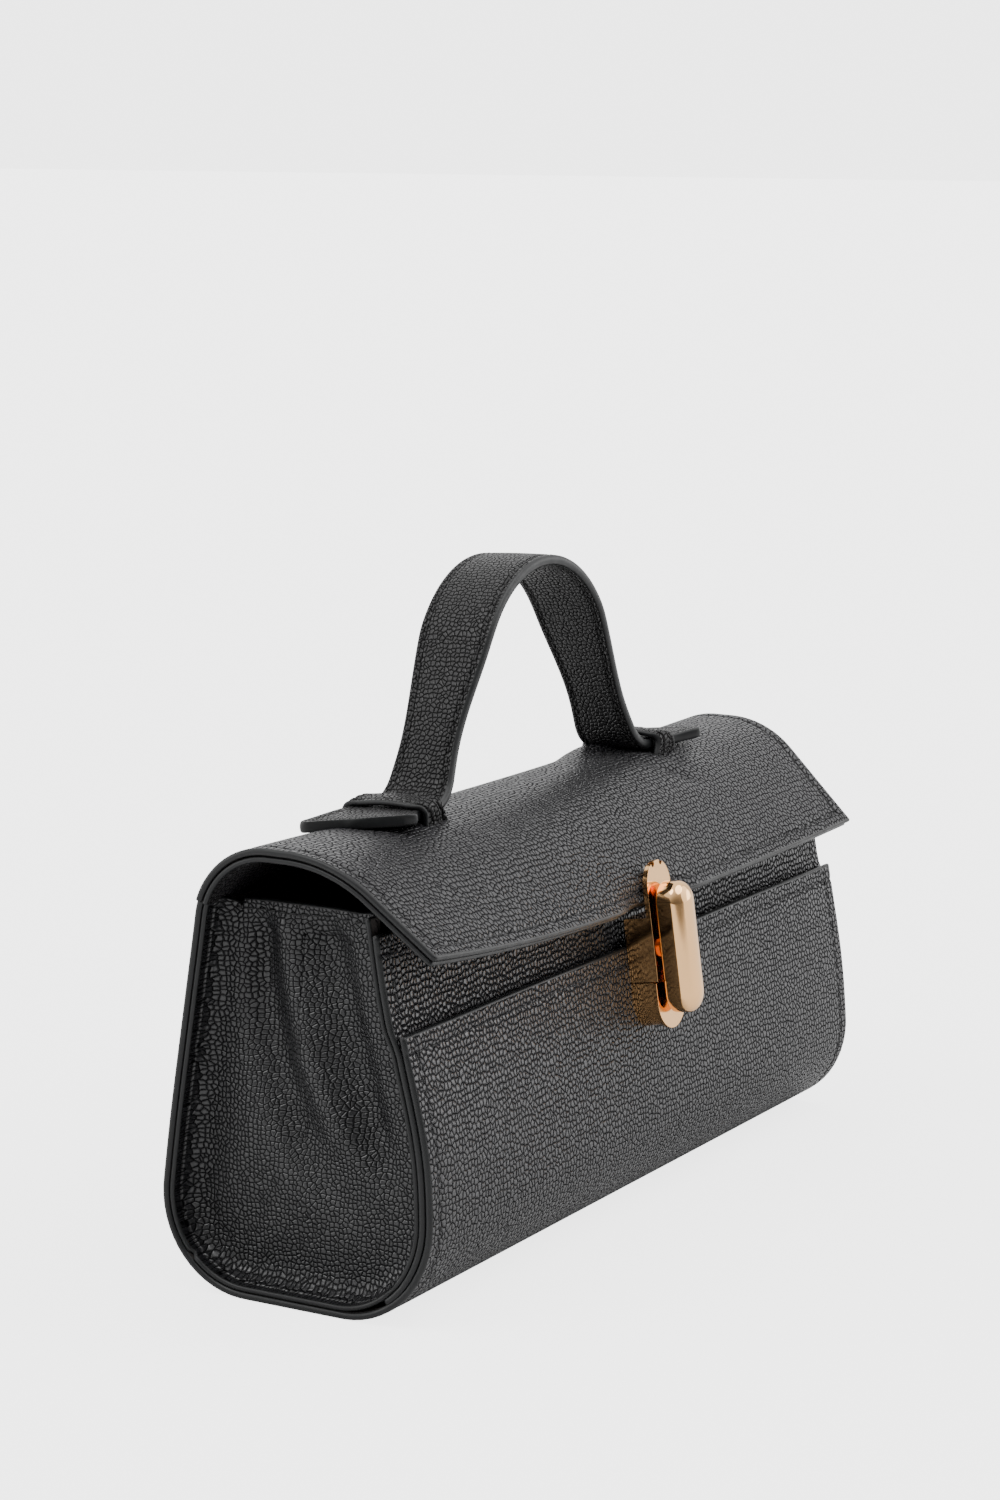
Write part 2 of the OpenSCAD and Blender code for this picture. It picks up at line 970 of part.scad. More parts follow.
module lock_flap_plate() {
    bottom = split_y + slip / 2;
    color("#e6c79c")
        difference() {
            on_lock() {
                intersection() {
                    translate([0, 0, plate_back])
                        linear_extrude(height = plate_thick)
                            obround(lock_straight, lock_radius);
                    lock_slab(bottom, lock_length, 0, 2 * lock_depth);
                }
                intersection() {
                    upper_box(0);
                    lock_slab(bottom, bar_top, 0, 2 * lock_depth);
                }
                intersection() {
                    linear_extrude(height = lock_depth - glue)
                        obround(lock_straight - 2 * lock_wall, saddle_half);
                    lock_slab(bar_top, saddle_top, 0, 2 * lock_depth);
                    on_slope_from_lock();
                }
            }
            on_lock() {
                intersection() {
                    upper_box(lock_wall);
                    lock_slab(bottom + lock_wall, bar_top - bar_thick, 0, plate_back);
                }
                lock_slab_slot(bottom);
                translate([0, -slide_drop - slide_travel / 2, 0])
                    linear_extrude(height = 2 * lock_depth)
                        obround(neck_length - neck_width + slide_travel, neck_width / 2 + slip);
            }
            clamp_screw_holes(screw_radius + screw_fit);
        }
}

module lock_slab_slot(bottom) {
    translate([-bolt_width / 2 - slip, bottom - overrun, bolt_back - slip])
        cube([bolt_width + 2 * slip, lock_wall + 2 * overrun, bolt_thick + 2 * slip]);
}

// Space above the flap's outer face, in the lock's frame

module on_slope_from_lock() {
    translate([0, -lock_up, 0])
        rotate([lean - 90, 0, 0])
            translate([0, wall_base[0], -wall_base[1]])
                slope_frame()
                    translate([-lock_back_width, 0, glue])
                        cube([2 * lock_back_width, lock_length, lock_length]);
}

module lock_back_cover() {
    bottom = split_y + slip / 2;
    color("#d8b98e")
        on_lock()
            intersection() {
                translate([0, 0, wall_slip])
                    lock_block(lock_back_radius - lock_wall - glue, lock_radius - lock_wall - glue, lock_depth);
                lock_slab(bottom + lock_wall + glue, bar_top - bar_thick - glue, wall_slip,
                    wall_slip + cover_thick);
            }
}

module lock_clamp_plate() {
    color("#c8c8c8")
        difference() {
            slope_frame()
                translate([-clamp_half, clamp_screw_up - clamp_length / 2, -flap_thick - glue - clamp_thick])
                    cube([2 * clamp_half, clamp_length, clamp_thick]);
            clamp_screw_holes(screw_radius + screw_fit);
        }
}

module lock_clamp_screws() {
    under = flap_thick + 2 * glue + clamp_thick;
    color("#b0b0b0")
        for (way = [-1, 1])
            slope_frame()
                translate([way * clamp_screw_half_pitch, clamp_screw_up, -under]) {
                    cylinder(r = screw_radius, h = under + clamp_screw_bite);
                    translate([0, 0, -screw_head])
                        cylinder(r = screw_head_radius, h = screw_head);
                }
}

module lock_spring() {
    rise = bolt_back - slip - wall_slip - cover_thick - glue;
    bow = (pow(leaf_half_run, 2) + pow(rise, 2)) / (2 * rise);
    color("#c8c8c8")
        on_lock()
            translate([0, leaf_middle, wall_slip + cover_thick + glue]) {
                for (way = [-1, 1])
                    translate([way * leaf_half_pitch, 0, rise - bow])
                        rotate([90, 0, 90])
                            linear_extrude(height = leaf_width, center = true)
                                intersection() {
                                    difference() {
                                        circle(bow);
                                        circle(bow - leaf_thick);
                                    }
                                    translate([-leaf_half_run, bow - rise])
                                        square([2 * leaf_half_run, rise]);
                                }
                translate([-leaf_half_pitch - leaf_width / 2, leaf_half_run - leaf_width - leaf_thick, 0])
                    cube([2 * leaf_half_pitch + leaf_width, leaf_width, leaf_thick]);
            }
}

module lock_slide() {
    color("#f0d2a8")
        on_lock()
            translate([0, -slide_drop, 0])
                difference() {
                    union() {
                        translate([0, 0, plate_back - slip + glue])
                            linear_extrude(height = slide_gap + plate_thick + slip)
                                obround(neck_length - neck_width, neck_width / 2);
                        translate([0, 0, slide_back])
                            linear_extrude(height = slide_side)
                                obround(slide_straight, slide_radius);
                        intersection() {
                            translate([0, 0, slide_back])
                                linear_extrude(height = slide_side + slide_dome)
                                    obround(slide_straight, slide_radius);
                            translate([0, 0, slide_back + slide_side + slide_dome - dome_radius]) {
                                rotate([90, 0, 0])
                                    cylinder(r = dome_radius, h = slide_straight, center = true);
                                for (way = [-1, 1])
                                    translate([0, way * slide_straight / 2, 0])
                                        sphere(dome_radius);
                            }
                        }
                    }
                    neck_screw_places()
                        cylinder(r = screw_radius + screw_fit, h = 2 * neck_screw_depth, center = true);
                }
}

module neck_screw_places() {
    for (way = [-1, 1])
        translate([0, way * neck_screw_pitch / 2, plate_back - slip + glue])
            children();
}

module lock_bolt() {
    color("#c9a878")
        on_lock()
            difference() {
                translate([-bolt_width / 2, bolt_foot, bolt_back])
                    cube([bolt_width, bolt_head - slip - bolt_foot - slip, bolt_thick]);
                translate([0, -slide_drop, 0])
                    neck_screw_places()
                        cylinder(r = screw_radius + screw_fit, h = 4 * bolt_thick, center = true);
            }
}

module lock_slide_screws() {
    color("#b0b0b0")
        on_lock()
            translate([0, -slide_drop, 0])
                neck_screw_places() {
                    translate([0, 0, -bolt_thick - 2 * glue])
                        cylinder(r = screw_radius, h = bolt_thick + neck_screw_depth);
                    translate([0, 0, -bolt_thick - 2 * glue - screw_head])
                        cylinder(r = screw_head_radius, h = screw_head);
                }
}

module case_screw_places() {
    for (way = [-1, 1])
        translate([way * case_screw_half_pitch, -case_screw_drop, 0])
            children();
}

module case_screw_holes() {
    case_screw_places()
        cylinder(r = screw_radius + screw_fit, h = 2 * case_screw_depth, center = true);
}

module lock_case() {
    top = split_y - slip / 2;
    color("#e6c79c")
        on_lock()
            difference() {
                union() {
                    intersection() {
                        translate([0, 0, glue])
                            lock_block(lock_back_radius, lock_radius, lock_depth - glue);
                        lock_slab(-lock_length, top, 0, lock_depth);
                    }
                    intersection() {
                        translate([0, 0, lock_depth - lip_width])
                            linear_extrude(height = lip_width)
                                obround(lock_straight, case_lip_radius);
                        lock_slab(-lock_length, top, 0, lock_depth);
                    }
                }
                translate([-bolt_width / 2 - slip, top - slot_depth, bolt_back - slip])
                    cube([bolt_width + 2 * slip, slot_depth + overrun, bolt_thick + 2 * slip]);
                case_screw_holes();
            }
}

module case_plate_shape(spread, thick) {
    translate([-case_plate_half - spread, -case_screw_drop - case_screw_half_pitch - spread, -thick])
        cube([2 * (case_plate_half + spread), 2 * (case_screw_half_pitch + spread), thick]);
}

module lock_case_plate() {
    color("#c8c8c8")
        on_lock()
            translate([0, 0, -pocket_lining_at])
                difference() {
                    case_plate_shape(0, lining);
                    case_screw_places()
                        cylinder(r1 = screw_head_radius + screw_fit + overrun,
                            r2 = screw_head_radius + screw_fit - overrun, h = 2 * overrun, center = true);
                    case_screw_holes();
                }
}

module lock_case_screws() {
    color("#b0b0b0")
        on_lock()
            case_screw_places() {
                translate([0, 0, -pocket_lining_at - lining])
                    cylinder(r = screw_radius, h = pocket_lining_at + lining + case_screw_depth - glue);
                translate([0, 0, -pocket_lining_at - lining])
                    cylinder(r1 = screw_head_radius, r2 = screw_radius, h = lining);
            }
}

body_wrap();
front_panel();
gusset_left();
gusset_right();
back_board();
base_board();
front_board();
back_lining();
base_lining();
front_lining();
gusset_lining_left();
gusset_lining_right();
pocket_lining();
inner_pocket();
flap_leather();
flap_board();
flap_lining();
handle_loop_left();
handle_loop_right();
loop_backing_left();
loop_backing_right();
handle_top();
handle_top_lining();
handle_leg_left();
handle_leg_right();
handle_leg_lining_left();
handle_leg_lining_right();
handle_end_left();
handle_end_right();
handle_end_lining_left();
handle_end_lining_right();
lock_flap_plate();
lock_back_cover();
lock_clamp_plate();
lock_clamp_screws();
lock_spring();
lock_slide();
lock_bolt();
lock_slide_screws();
lock_case();
lock_case_plate();
lock_case_screws();
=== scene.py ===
"""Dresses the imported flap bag: leather shell, flap, handle, loops, slide lock, stage, light and camera.

The classes hold their sizes in millimetres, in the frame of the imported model. A mesh becomes metres when it is made.
"""
import logging
import math
from dataclasses import dataclass, field
from enum import Enum

import bmesh
import bpy
import numpy as np
from mathutils import Matrix


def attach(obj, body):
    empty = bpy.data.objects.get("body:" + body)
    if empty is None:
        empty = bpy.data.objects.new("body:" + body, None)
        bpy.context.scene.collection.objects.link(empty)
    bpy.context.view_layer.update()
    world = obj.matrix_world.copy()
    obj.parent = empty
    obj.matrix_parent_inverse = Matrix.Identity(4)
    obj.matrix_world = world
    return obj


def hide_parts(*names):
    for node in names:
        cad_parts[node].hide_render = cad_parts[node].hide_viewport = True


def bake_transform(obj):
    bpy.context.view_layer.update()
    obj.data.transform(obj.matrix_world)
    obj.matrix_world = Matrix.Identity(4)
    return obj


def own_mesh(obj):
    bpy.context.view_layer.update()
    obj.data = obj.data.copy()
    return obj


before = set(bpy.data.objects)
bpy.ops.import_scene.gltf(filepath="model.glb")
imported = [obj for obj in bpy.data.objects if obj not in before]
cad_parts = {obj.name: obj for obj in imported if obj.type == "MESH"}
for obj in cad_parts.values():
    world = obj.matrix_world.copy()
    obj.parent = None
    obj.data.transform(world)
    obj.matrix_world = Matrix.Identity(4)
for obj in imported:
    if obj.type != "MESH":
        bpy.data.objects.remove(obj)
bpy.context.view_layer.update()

MM = 0.001
LAID_FLAT = "laid_flat"
HARD_TURN = 50
LOG = logging.getLogger("flap_bag")
Array = np.ndarray


class Side(Enum):
    """End of the bag; the value is the sign of its X."""

    LEFT = -1
    RIGHT = 1

    @property
    def word(self) -> str:
        """The side's name in a piece's name."""
        return self.name.lower()


# Numbers and curves


def ease(x: Array, low: float, high: float) -> Array:
    """Step that rises smoothly from 0 at low to 1 at high: t squared times three minus two t."""
    t = np.clip((np.asarray(x, float) - low) / (high - low), 0, 1)
    return t * t * (3 - 2 * t)


def bell(x: Array, middle: float, width: float) -> Array:
    """Bell curve, 1 at the middle: e to the minus of the squared distance over the width."""
    return np.exp(-(((np.asarray(x, float) - middle) / width) ** 2))


def unit(v: Array) -> Array:
    """Vectors of length one, in the same directions."""
    return v / np.maximum(np.linalg.norm(v, axis=-1, keepdims=True), 1e-9)


def spaced(length: float, coarse: float, fine: float = 0.6, margin: float = 7.0) -> Array:
    """Places along a length, close together near both ends, where edges and seams are.

    Args:
        length: whole length.
        coarse: step in the middle.
        fine: step within the margin.
        margin: distance from each end that is fine.

    Returns:
        Increasing places from 0 to length.
    """
    edge = np.arange(0, margin, fine)
    count = max(2, int(round((length - 2 * margin) / coarse)) + 1)
    return np.concatenate([edge, np.linspace(margin, length - margin, count), (length - edge)[::-1]])


def lengths(path: Array) -> Array:
    """Distance along a path of points, from its first."""
    return np.concatenate([[0.0], np.cumsum(np.linalg.norm(np.diff(path, axis=0), axis=1))])


def along(path: Array, places: Array) -> Array:
    """Points of a path at given distances along it."""
    run = lengths(path)
    return np.stack([np.interp(places, run, path[:, k]) for k in range(path.shape[1])], -1)


def arc(centre: tuple[float, float], radius: float, start: float, end: float, steps: int = 24) -> Array:
    """Points of a circle's arc between two angles in degrees."""
    a = np.radians(np.linspace(start, end, steps))
    return np.stack([centre[0] + radius * np.cos(a), centre[1] + radius * np.sin(a)], -1)


def respaced(path: Array, coarse: float) -> Array:
    """The same path with its points close together near both ends and coarse apart between them."""
    return along(path, spaced(lengths(path)[-1], coarse))


def normals(path: Array) -> Array:
    """Unit normals of a plane path: the way it runs, turned a quarter turn anticlockwise."""
    way = unit(np.gradient(path, axis=0))
    return np.stack([-way[:, 1], way[:, 0]], -1)


def at_x(x: Array | float, section: Array) -> Array:
    """Points at given X with the Y and Z of a section; the two are broadcast against each other."""
    return np.stack(np.broadcast_arrays(x, section[..., 0], section[..., 1]), -1)


# Finishes


def to_linear(code: str) -> tuple[float, float, float, float]:
    """Linear colour of an sRGB hex code."""
    part = np.array([int(code[k : k + 2], 16) / 255 for k in (1, 3, 5)])
    line = np.where(part <= 0.04045, part / 12.92, ((part + 0.055) / 1.055) ** 2.4)
    return (*line.tolist(), 1.0)


def add(tree: bpy.types.NodeTree, kind: str, sockets: dict | None = None, **settings: object) -> bpy.types.Node:
    """Adds a node with its settings, values and links.

    Args:
        tree: node tree of a material or world.
        kind: node type.
        sockets: input name or number to a value or to the output socket that feeds it.
        settings: the node's own properties.

    Returns:
        The node.
    """
    made = tree.nodes.new(kind)
    for name, value in settings.items():
        setattr(made, name, value)
    for name, value in (sockets or {}).items():
        if isinstance(value, bpy.types.NodeSocket):
            tree.links.new(value, made.inputs[name])
        else:
            made.inputs[name].default_value = value
    return made


@dataclass(frozen=True)
class Finish:
    """A finish: its name, colour and roughness, and how it becomes a material."""

    name: str
    colour: str
    roughness: float

    def material(self) -> bpy.types.Material:
        """The material, made once."""
        made = bpy.data.materials.get(self.name)
        if made is None:
            made = bpy.data.materials.new(self.name)
            made.use_nodes = True
            made.node_tree.nodes.clear()
            shader = add(made.node_tree, "ShaderNodeBsdfPrincipled", {"Base Color": to_linear(self.colour),
                         "Roughness": self.roughness})
            add(made.node_tree, "ShaderNodeOutputMaterial", {"Surface": shader.outputs[0]})
            self.dress(made.node_tree, shader)
            made.diffuse_color = to_linear(self.colour)
        return made

    def dress(self, tree: bpy.types.NodeTree, shader: bpy.types.Node) -> None:
        """Adds the finish's pattern."""

    def spread(self, tree: bpy.types.NodeTree, size_mm: float, detail: float = 2.0) -> bpy.types.Node:
        """Noise whose patches are size_mm across."""
        place = add(tree, "ShaderNodeTexCoord")
        return add(tree, "ShaderNodeTexNoise", {"Vector": place.outputs["Object"], "Scale": 1000 / size_mm,
                   "Detail": detail})


@dataclass(frozen=True)
class PebbledLeather(Finish):
    """Chrome-tanned calf, shrunken and milled: rounded pebbles with dark creases between them.

    It gives the eye soft sheen on every pebble's top and a fine dark net between the pebbles: the crease colour is
    painted shade in the creases.
    The width of a pebble's flank and of the crease, the bend and the pores' depth are shares of the pebble.
    """

    # crease colour, darker than the leather's own: painted shade in the creases between the pebbles
    crease: str = "#101012"
    pebble_mm: float = 1.9
    depth_mm: float = 0.3
    shine: float = 0.5
    unevenness: float = 0.75
    bend_pebbles: float = 2.5
    bend_share: float = 0.6
    flank: float = 0.34
    crease_width: float = 0.16
    crease_roughness: float = 0.9
    pore_mm: float = 0.45
    pore_depth: float = 0.07

    def dress(self, tree: bpy.types.NodeTree, shader: bpy.types.Node) -> None:
        """Voronoi cells on the hide laid flat, bent by noise, whose distance to the edge is the pebble's height; the
        creases between them are dull, and their darker colour is painted shade."""
        place = add(tree, "ShaderNodeAttribute", attribute_name=LAID_FLAT)
        bend = self.spread(tree, self.bend_pebbles * self.pebble_mm, 1.0)
        shift = add(tree, "ShaderNodeVectorMath", {0: bend.outputs["Color"], 1: (0.5, 0.5, 0.5)}, operation="SUBTRACT")
        scaled = add(tree, "ShaderNodeVectorMath", {0: shift.outputs[0],
                     "Scale": self.bend_share * self.pebble_mm * MM}, operation="SCALE")
        where = add(tree, "ShaderNodeVectorMath", {0: place.outputs["Vector"], 1: scaled.outputs[0]}, operation="ADD")
        cells = add(tree, "ShaderNodeTexVoronoi", {"Vector": where.outputs[0], "Scale": 1000 / self.pebble_mm,
                    "Randomness": self.unevenness}, feature="DISTANCE_TO_EDGE", voronoi_dimensions="2D")
        dome = add(tree, "ShaderNodeMapRange", {"Value": cells.outputs[0], "From Min": 0.0, "From Max": self.flank},
                   interpolation_type="SMOOTHERSTEP")
        net = add(tree, "ShaderNodeMapRange", {"Value": cells.outputs[0], "From Min": 0.0,
                  "From Max": self.crease_width}, interpolation_type="SMOOTHSTEP")
        pores = add(tree, "ShaderNodeMath", {0: self.spread(tree, self.pore_mm, 2).outputs["Fac"],
                    1: self.pore_depth}, operation="MULTIPLY")
        surface = add(tree, "ShaderNodeMath", {0: dome.outputs[0], 1: pores.outputs[0]}, operation="ADD")
        bump = add(tree, "ShaderNodeBump", {"Height": surface.outputs[0], "Strength": 1.0,
                   "Distance": self.depth_mm * MM})
        # the crease colour is mixed in along the net between the pebbles: painted shade in the creases
        colour = add(tree, "ShaderNodeMix", {0: net.outputs[0], 6: to_linear(self.crease), 7: to_linear(self.colour)},
                     data_type="RGBA")
        gloss = add(tree, "ShaderNodeMapRange", {"Value": net.outputs[0], "To Min": self.crease_roughness,
                    "To Max": self.roughness})
        sheen = add(tree, "ShaderNodeMath", {0: net.outputs[0], 1: self.shine}, operation="MULTIPLY")
        for made, socket, name in ((sheen, 0, "Specular IOR Level"), (colour, 2, "Base Color"),
                                   (gloss, 0, "Roughness"), (bump, 0, "Normal")):
            tree.links.new(made.outputs[socket], shader.inputs[name])


@dataclass(frozen=True)
class EdgePaint(Finish):
    """Acrylic edge paint, brushed on in coats and rubbed: smooth, a little uneven, with a soft shine."""

    wave_mm: float = 3.2
    wave_height_mm: float = 0.12
    shine: float = 0.3
    coat: float = 0.06
    coat_roughness: float = 0.25

    def dress(self, tree: bpy.types.NodeTree, shader: bpy.types.Node) -> None:
        """Low waves of a few millimetres from the hand-laid coats."""
        waves = self.spread(tree, self.wave_mm, 2)
        bump = add(tree, "ShaderNodeBump", {"Height": waves.outputs["Fac"], "Strength": 0.5,
                   "Distance": self.wave_height_mm * MM})
        gloss = add(tree, "ShaderNodeMapRange", {"Value": waves.outputs["Fac"], "To Min": self.roughness - 0.1,
                    "To Max": self.roughness + 0.12})
        shader.inputs["Specular IOR Level"].default_value = self.shine
        shader.inputs["Coat Weight"].default_value = self.coat
        shader.inputs["Coat Roughness"].default_value = self.coat_roughness
        tree.links.new(bump.outputs[0], shader.inputs["Normal"])
        tree.links.new(gloss.outputs[0], shader.inputs["Roughness"])


@dataclass(frozen=True)
class WovenLining(Finish):
    """Cotton twill lining: diagonal ribs, drawn 0.8 mm wide so that they show at all, and no shine.

    A wave texture repeats every 0.314 over its scale in metres, which is 0.83 mm here.
    """

    rib_scale: float = 380.0
    rib_height_mm: float = 0.15
    shine: float = 0.2

    def dress(self, tree: bpy.types.NodeTree, shader: bpy.types.Node) -> None:
        """Diagonal waves on Object coordinates, bent a little by the texture's own noise."""
        place = add(tree, "ShaderNodeTexCoord")
        ribs = add(tree, "ShaderNodeTexWave", {"Vector": place.outputs["Object"], "Scale": self.rib_scale,
                   "Distortion": 1.2, "Detail": 1.0}, bands_direction="DIAGONAL")
        bump = add(tree, "ShaderNodeBump", {"Height": ribs.outputs["Fac"], "Strength": 0.5,
                   "Distance": self.rib_height_mm * MM})
        tree.links.new(bump.outputs[0], shader.inputs["Normal"])
        shader.inputs["Specular IOR Level"].default_value = self.shine


@dataclass(frozen=True)
class Fibre(Finish):
    """Bonded polyester thread, flesh side of leather or grey board: fibres a fraction of a millimetre wide."""

    grain_mm: float = 0.25
    height_mm: float = 0.1
    drift: float = 0.08

    def dress(self, tree: bpy.types.NodeTree, shader: bpy.types.Node) -> None:
        """Fine noise as fibres, and a roughness that varies with it."""
        fibres = self.spread(tree, self.grain_mm, 3)
        bump = add(tree, "ShaderNodeBump", {"Height": fibres.outputs["Fac"], "Strength": 0.6,
                   "Distance": self.height_mm * MM})
        gloss = add(tree, "ShaderNodeMapRange", {"Value": fibres.outputs["Fac"], "To Min": self.roughness - self.drift,
                    "To Max": self.roughness + self.drift})
        tree.links.new(bump.outputs[0], shader.inputs["Normal"])
        tree.links.new(gloss.outputs[0], shader.inputs["Roughness"])


@dataclass(frozen=True)
class Metal(Finish):
    """Plated metal: zinc casting buffed to a mirror with the slightest haze, or blasted steel where it is rough."""

    haze_mm: float = 9.0
    wear: float = 0.05

    def dress(self, tree: bpy.types.NodeTree, shader: bpy.types.Node) -> None:
        """Roughness that drifts over some millimetres, as buffing leaves it."""
        haze = self.spread(tree, self.haze_mm, 3)
        gloss = add(tree, "ShaderNodeMapRange", {"Value": haze.outputs["Fac"], "From Min": 0.3, "From Max": 0.7,
                    "To Min": self.roughness, "To Max": self.roughness + self.wear})
        shader.inputs["Metallic"].default_value = 1.0
        tree.links.new(gloss.outputs[0], shader.inputs["Roughness"])


@dataclass(frozen=True)
class BrightFloor(Finish):
    """Seamless white paper that is lit so strongly that hardly a shadow shows on it."""

    glow: float = 3.16
    share: float = 0.6

    def dress(self, tree: bpy.types.NodeTree, shader: bpy.types.Node) -> None:
        """The camera sees a share of the paper's shading and an even glow; the bag is lit by the paper alone."""
        out = next(node for node in tree.nodes if node.type == "OUTPUT_MATERIAL")
        glow = add(tree, "ShaderNodeEmission", {"Strength": self.glow})
        part = add(tree, "ShaderNodeBsdfDiffuse", {"Color": tuple(self.share * c for c in to_linear(self.colour))})
        seen = add(tree, "ShaderNodeAddShader", {0: glow.outputs[0], 1: part.outputs[0]})
        rays = add(tree, "ShaderNodeLightPath")
        both = add(tree, "ShaderNodeMixShader", {0: rays.outputs["Is Camera Ray"], 1: shader.outputs[0],
                   2: seen.outputs[0]})
        tree.links.new(both.outputs[0], out.inputs["Surface"])


# each crease colour, darker than its leather's colour, is painted shade in the creases between the pebbles
BODY_LEATHER = PebbledLeather("milled_calf_body", "#1f1e21", 0.34, crease="#030304", pebble_mm=1.75, depth_mm=0.5,
                              shine=0.55)
GUSSET_LEATHER = PebbledLeather("milled_calf_end_wall", "#141416", 0.32, crease="#050506", pebble_mm=1.4,
                                depth_mm=0.18, shine=0.6)
STRAP_LEATHER = PebbledLeather("milled_calf_strap", "#151415", 0.36, crease="#060606", pebble_mm=1.4, depth_mm=0.28,
                               shine=0.4)
FLAP_LINING = PebbledLeather("milled_calf_flap_lining", "#1d1c1c", 0.5, pebble_mm=1.6, depth_mm=0.15)
EDGE_PAINT = EdgePaint("black_edge_paint", "#0f1011", 0.42)
THREAD = Fibre("bonded_polyester_thread", "#050506", 0.6)
LINING = WovenLining("cotton_twill_lining", "#2b2522", 0.85)
FLESH = Fibre("leather_flesh_side", "#2a2523", 0.85, grain_mm=0.6)
BOARD = Fibre("fibre_board", "#8a7a62", 0.9, grain_mm=0.8)
GOLD = Metal("pale_gold_plated_zinc", "#f0bd84", 0.06)
BOLT_METAL = Metal("gold_plated_bolt", "#d9b486", 0.18)
STEEL = Metal("zinc_plated_steel", "#b8b8b8", 0.3, wear=0.12)


# Meshes


def put(name: str, points: Array, faces: Array, marks: Array, finishes: list[Finish], merge: float = 1e-4,
        flat: bool = False, laid: Array | None = None) -> bpy.types.Object:
    """Makes an object from points in millimetres and four-sided faces.

    Args:
        name: the piece's name.
        points: n by 3.
        faces: m by 4 point numbers.
        marks: the finish number of each face.
        finishes: the finishes, in the order of the numbers.
        merge: points closer than this many millimetres become one.
        flat: faces meet at hard corners, such as on metal, where they turn by more than HARD_TURN degrees.
        laid: for each point its place on the sheet laid flat, which the leather's grain follows.

    Returns:
        The object, at the origin, with its normals outwards.
    """
    mesh = bpy.data.meshes.new(name)
    mesh.from_pydata((np.asarray(points, float) * MM).tolist(), [], np.asarray(faces, int).tolist())
    if laid is not None:
        mesh.attributes.new(LAID_FLAT, "FLOAT_VECTOR", "POINT").data.foreach_set(
            "vector", (laid.reshape(-1, 3) * MM).ravel())
    for finish in finishes:
        mesh.materials.append(finish.material())
    mesh.polygons.foreach_set("material_index", np.asarray(marks, np.int32))
    work = bmesh.new()
    work.from_mesh(mesh)
    bmesh.ops.remove_doubles(work, verts=work.verts, dist=merge * MM)
    bmesh.ops.dissolve_degenerate(work, edges=work.edges, dist=1e-9)
    bmesh.ops.recalc_face_normals(work, faces=work.faces)
    work.to_mesh(mesh)
    work.free()
    mesh.polygons.foreach_set("use_smooth", np.ones(len(mesh.polygons), bool))
    if flat:
        mesh.set_sharp_from_angle(angle=math.radians(HARD_TURN))
    made = bpy.data.objects.new(name, mesh)
    bpy.context.scene.collection.objects.link(made)
    return made


def grid_faces(rows: int, columns: int, closed: bool = False) -> Array:
    """Faces of a grid of points numbered row by row; closed joins the last column to the first."""
    i, j = np.meshgrid(np.arange(rows - 1), np.arange(columns if closed else columns - 1), indexing="ij")
    a, b = i * columns + j, i * columns + (j + 1) % columns
    return np.stack([a, b, b + columns, a + columns], -1).reshape(-1, 4)


def lay_flat(grid: Array) -> Array:
    """Place of every point of a grid on its sheet laid flat: how far it is from the middle, along rows and columns."""
    laid = np.zeros_like(grid)
    for axis in (0, 1):
        steps = np.linalg.norm(np.diff(grid, axis=axis), axis=-1)
        run = np.cumsum(np.insert(steps, 0, 0, axis=axis), axis=axis)
        laid[..., axis] = run - np.take(run, [grid.shape[axis] // 2], axis=axis)
    return laid


def sheet_piece(name: str, outer: Array, inner: Array, finishes: list[Finish],
                bulge: tuple[float, float, float, float] = (1, 1, 1, 1), steps: int = 5,
                laid: Array | None = None) -> bpy.types.Object:
    """Closed sheet between two grids of points, with rounded edges.

    The edge at each side is half an ellipse: it goes from the outer grid to the inner one as the cosine of an angle,
    and stands out by its sine times half the thickness times the side's bulge.

    Args:
        name: the piece's name.
        outer: rows by columns by 3, the shown face.
        inner: the same points on the other face.
        finishes: shown face, edge, other face.
        bulge: how round the first row, last row, first column and last column are.
        steps: strips across an edge.
        laid: place of each point on the hide; left out, it is worked out along rows and columns.

    Returns:
        The object.
    """
    m, n = outer.shape[:2]
    push = np.zeros_like(outer)
    push[0] += bulge[0] * unit(outer[0] - outer[1])
    push[-1] += bulge[1] * unit(outer[-1] - outer[-2])
    push[:, 0] += bulge[2] * unit(outer[:, 0] - outer[:, 1])
    push[:, -1] += bulge[3] * unit(outer[:, -1] - outer[:, -2])
    number = np.arange(m * n).reshape(m, n)
    ring = np.concatenate([number[0, :-1], number[:-1, -1], number[-1, :0:-1], number[:0:-1, 0]])
    top, low, out = outer.reshape(-1, 3)[ring], inner.reshape(-1, 3)[ring], push.reshape(-1, 3)[ring]
    half = np.linalg.norm(top - low, axis=1, keepdims=True) / 2
    angle = np.pi * np.arange(1, steps) / steps
    mixed = [top + (low - top) * (1 - math.cos(a)) / 2 + out * half * math.sin(a) for a in angle]
    points = np.concatenate([outer.reshape(-1, 3), inner.reshape(-1, 3), *mixed])
    count = len(ring)
    rings = [ring] + [2 * m * n + k * count + np.arange(count) for k in range(steps - 1)] + [ring + m * n]
    face = grid_faces(m, n)
    strips = [np.stack([a, b, np.roll(b, -1), np.roll(a, -1)], -1) for a, b in zip(rings[:-1], rings[1:])]
    faces = np.concatenate([face, face[:, ::-1] + m * n, *strips])
    marks = np.concatenate([np.zeros(len(face)), np.full(len(face), 2), np.full(count * steps, 1)])
    laid = (lay_flat(outer) if laid is None else laid).reshape(-1, 3)
    return put(name, points, faces, marks, finishes, laid=np.concatenate([laid, laid] + [laid[ring]] * (steps - 1)))


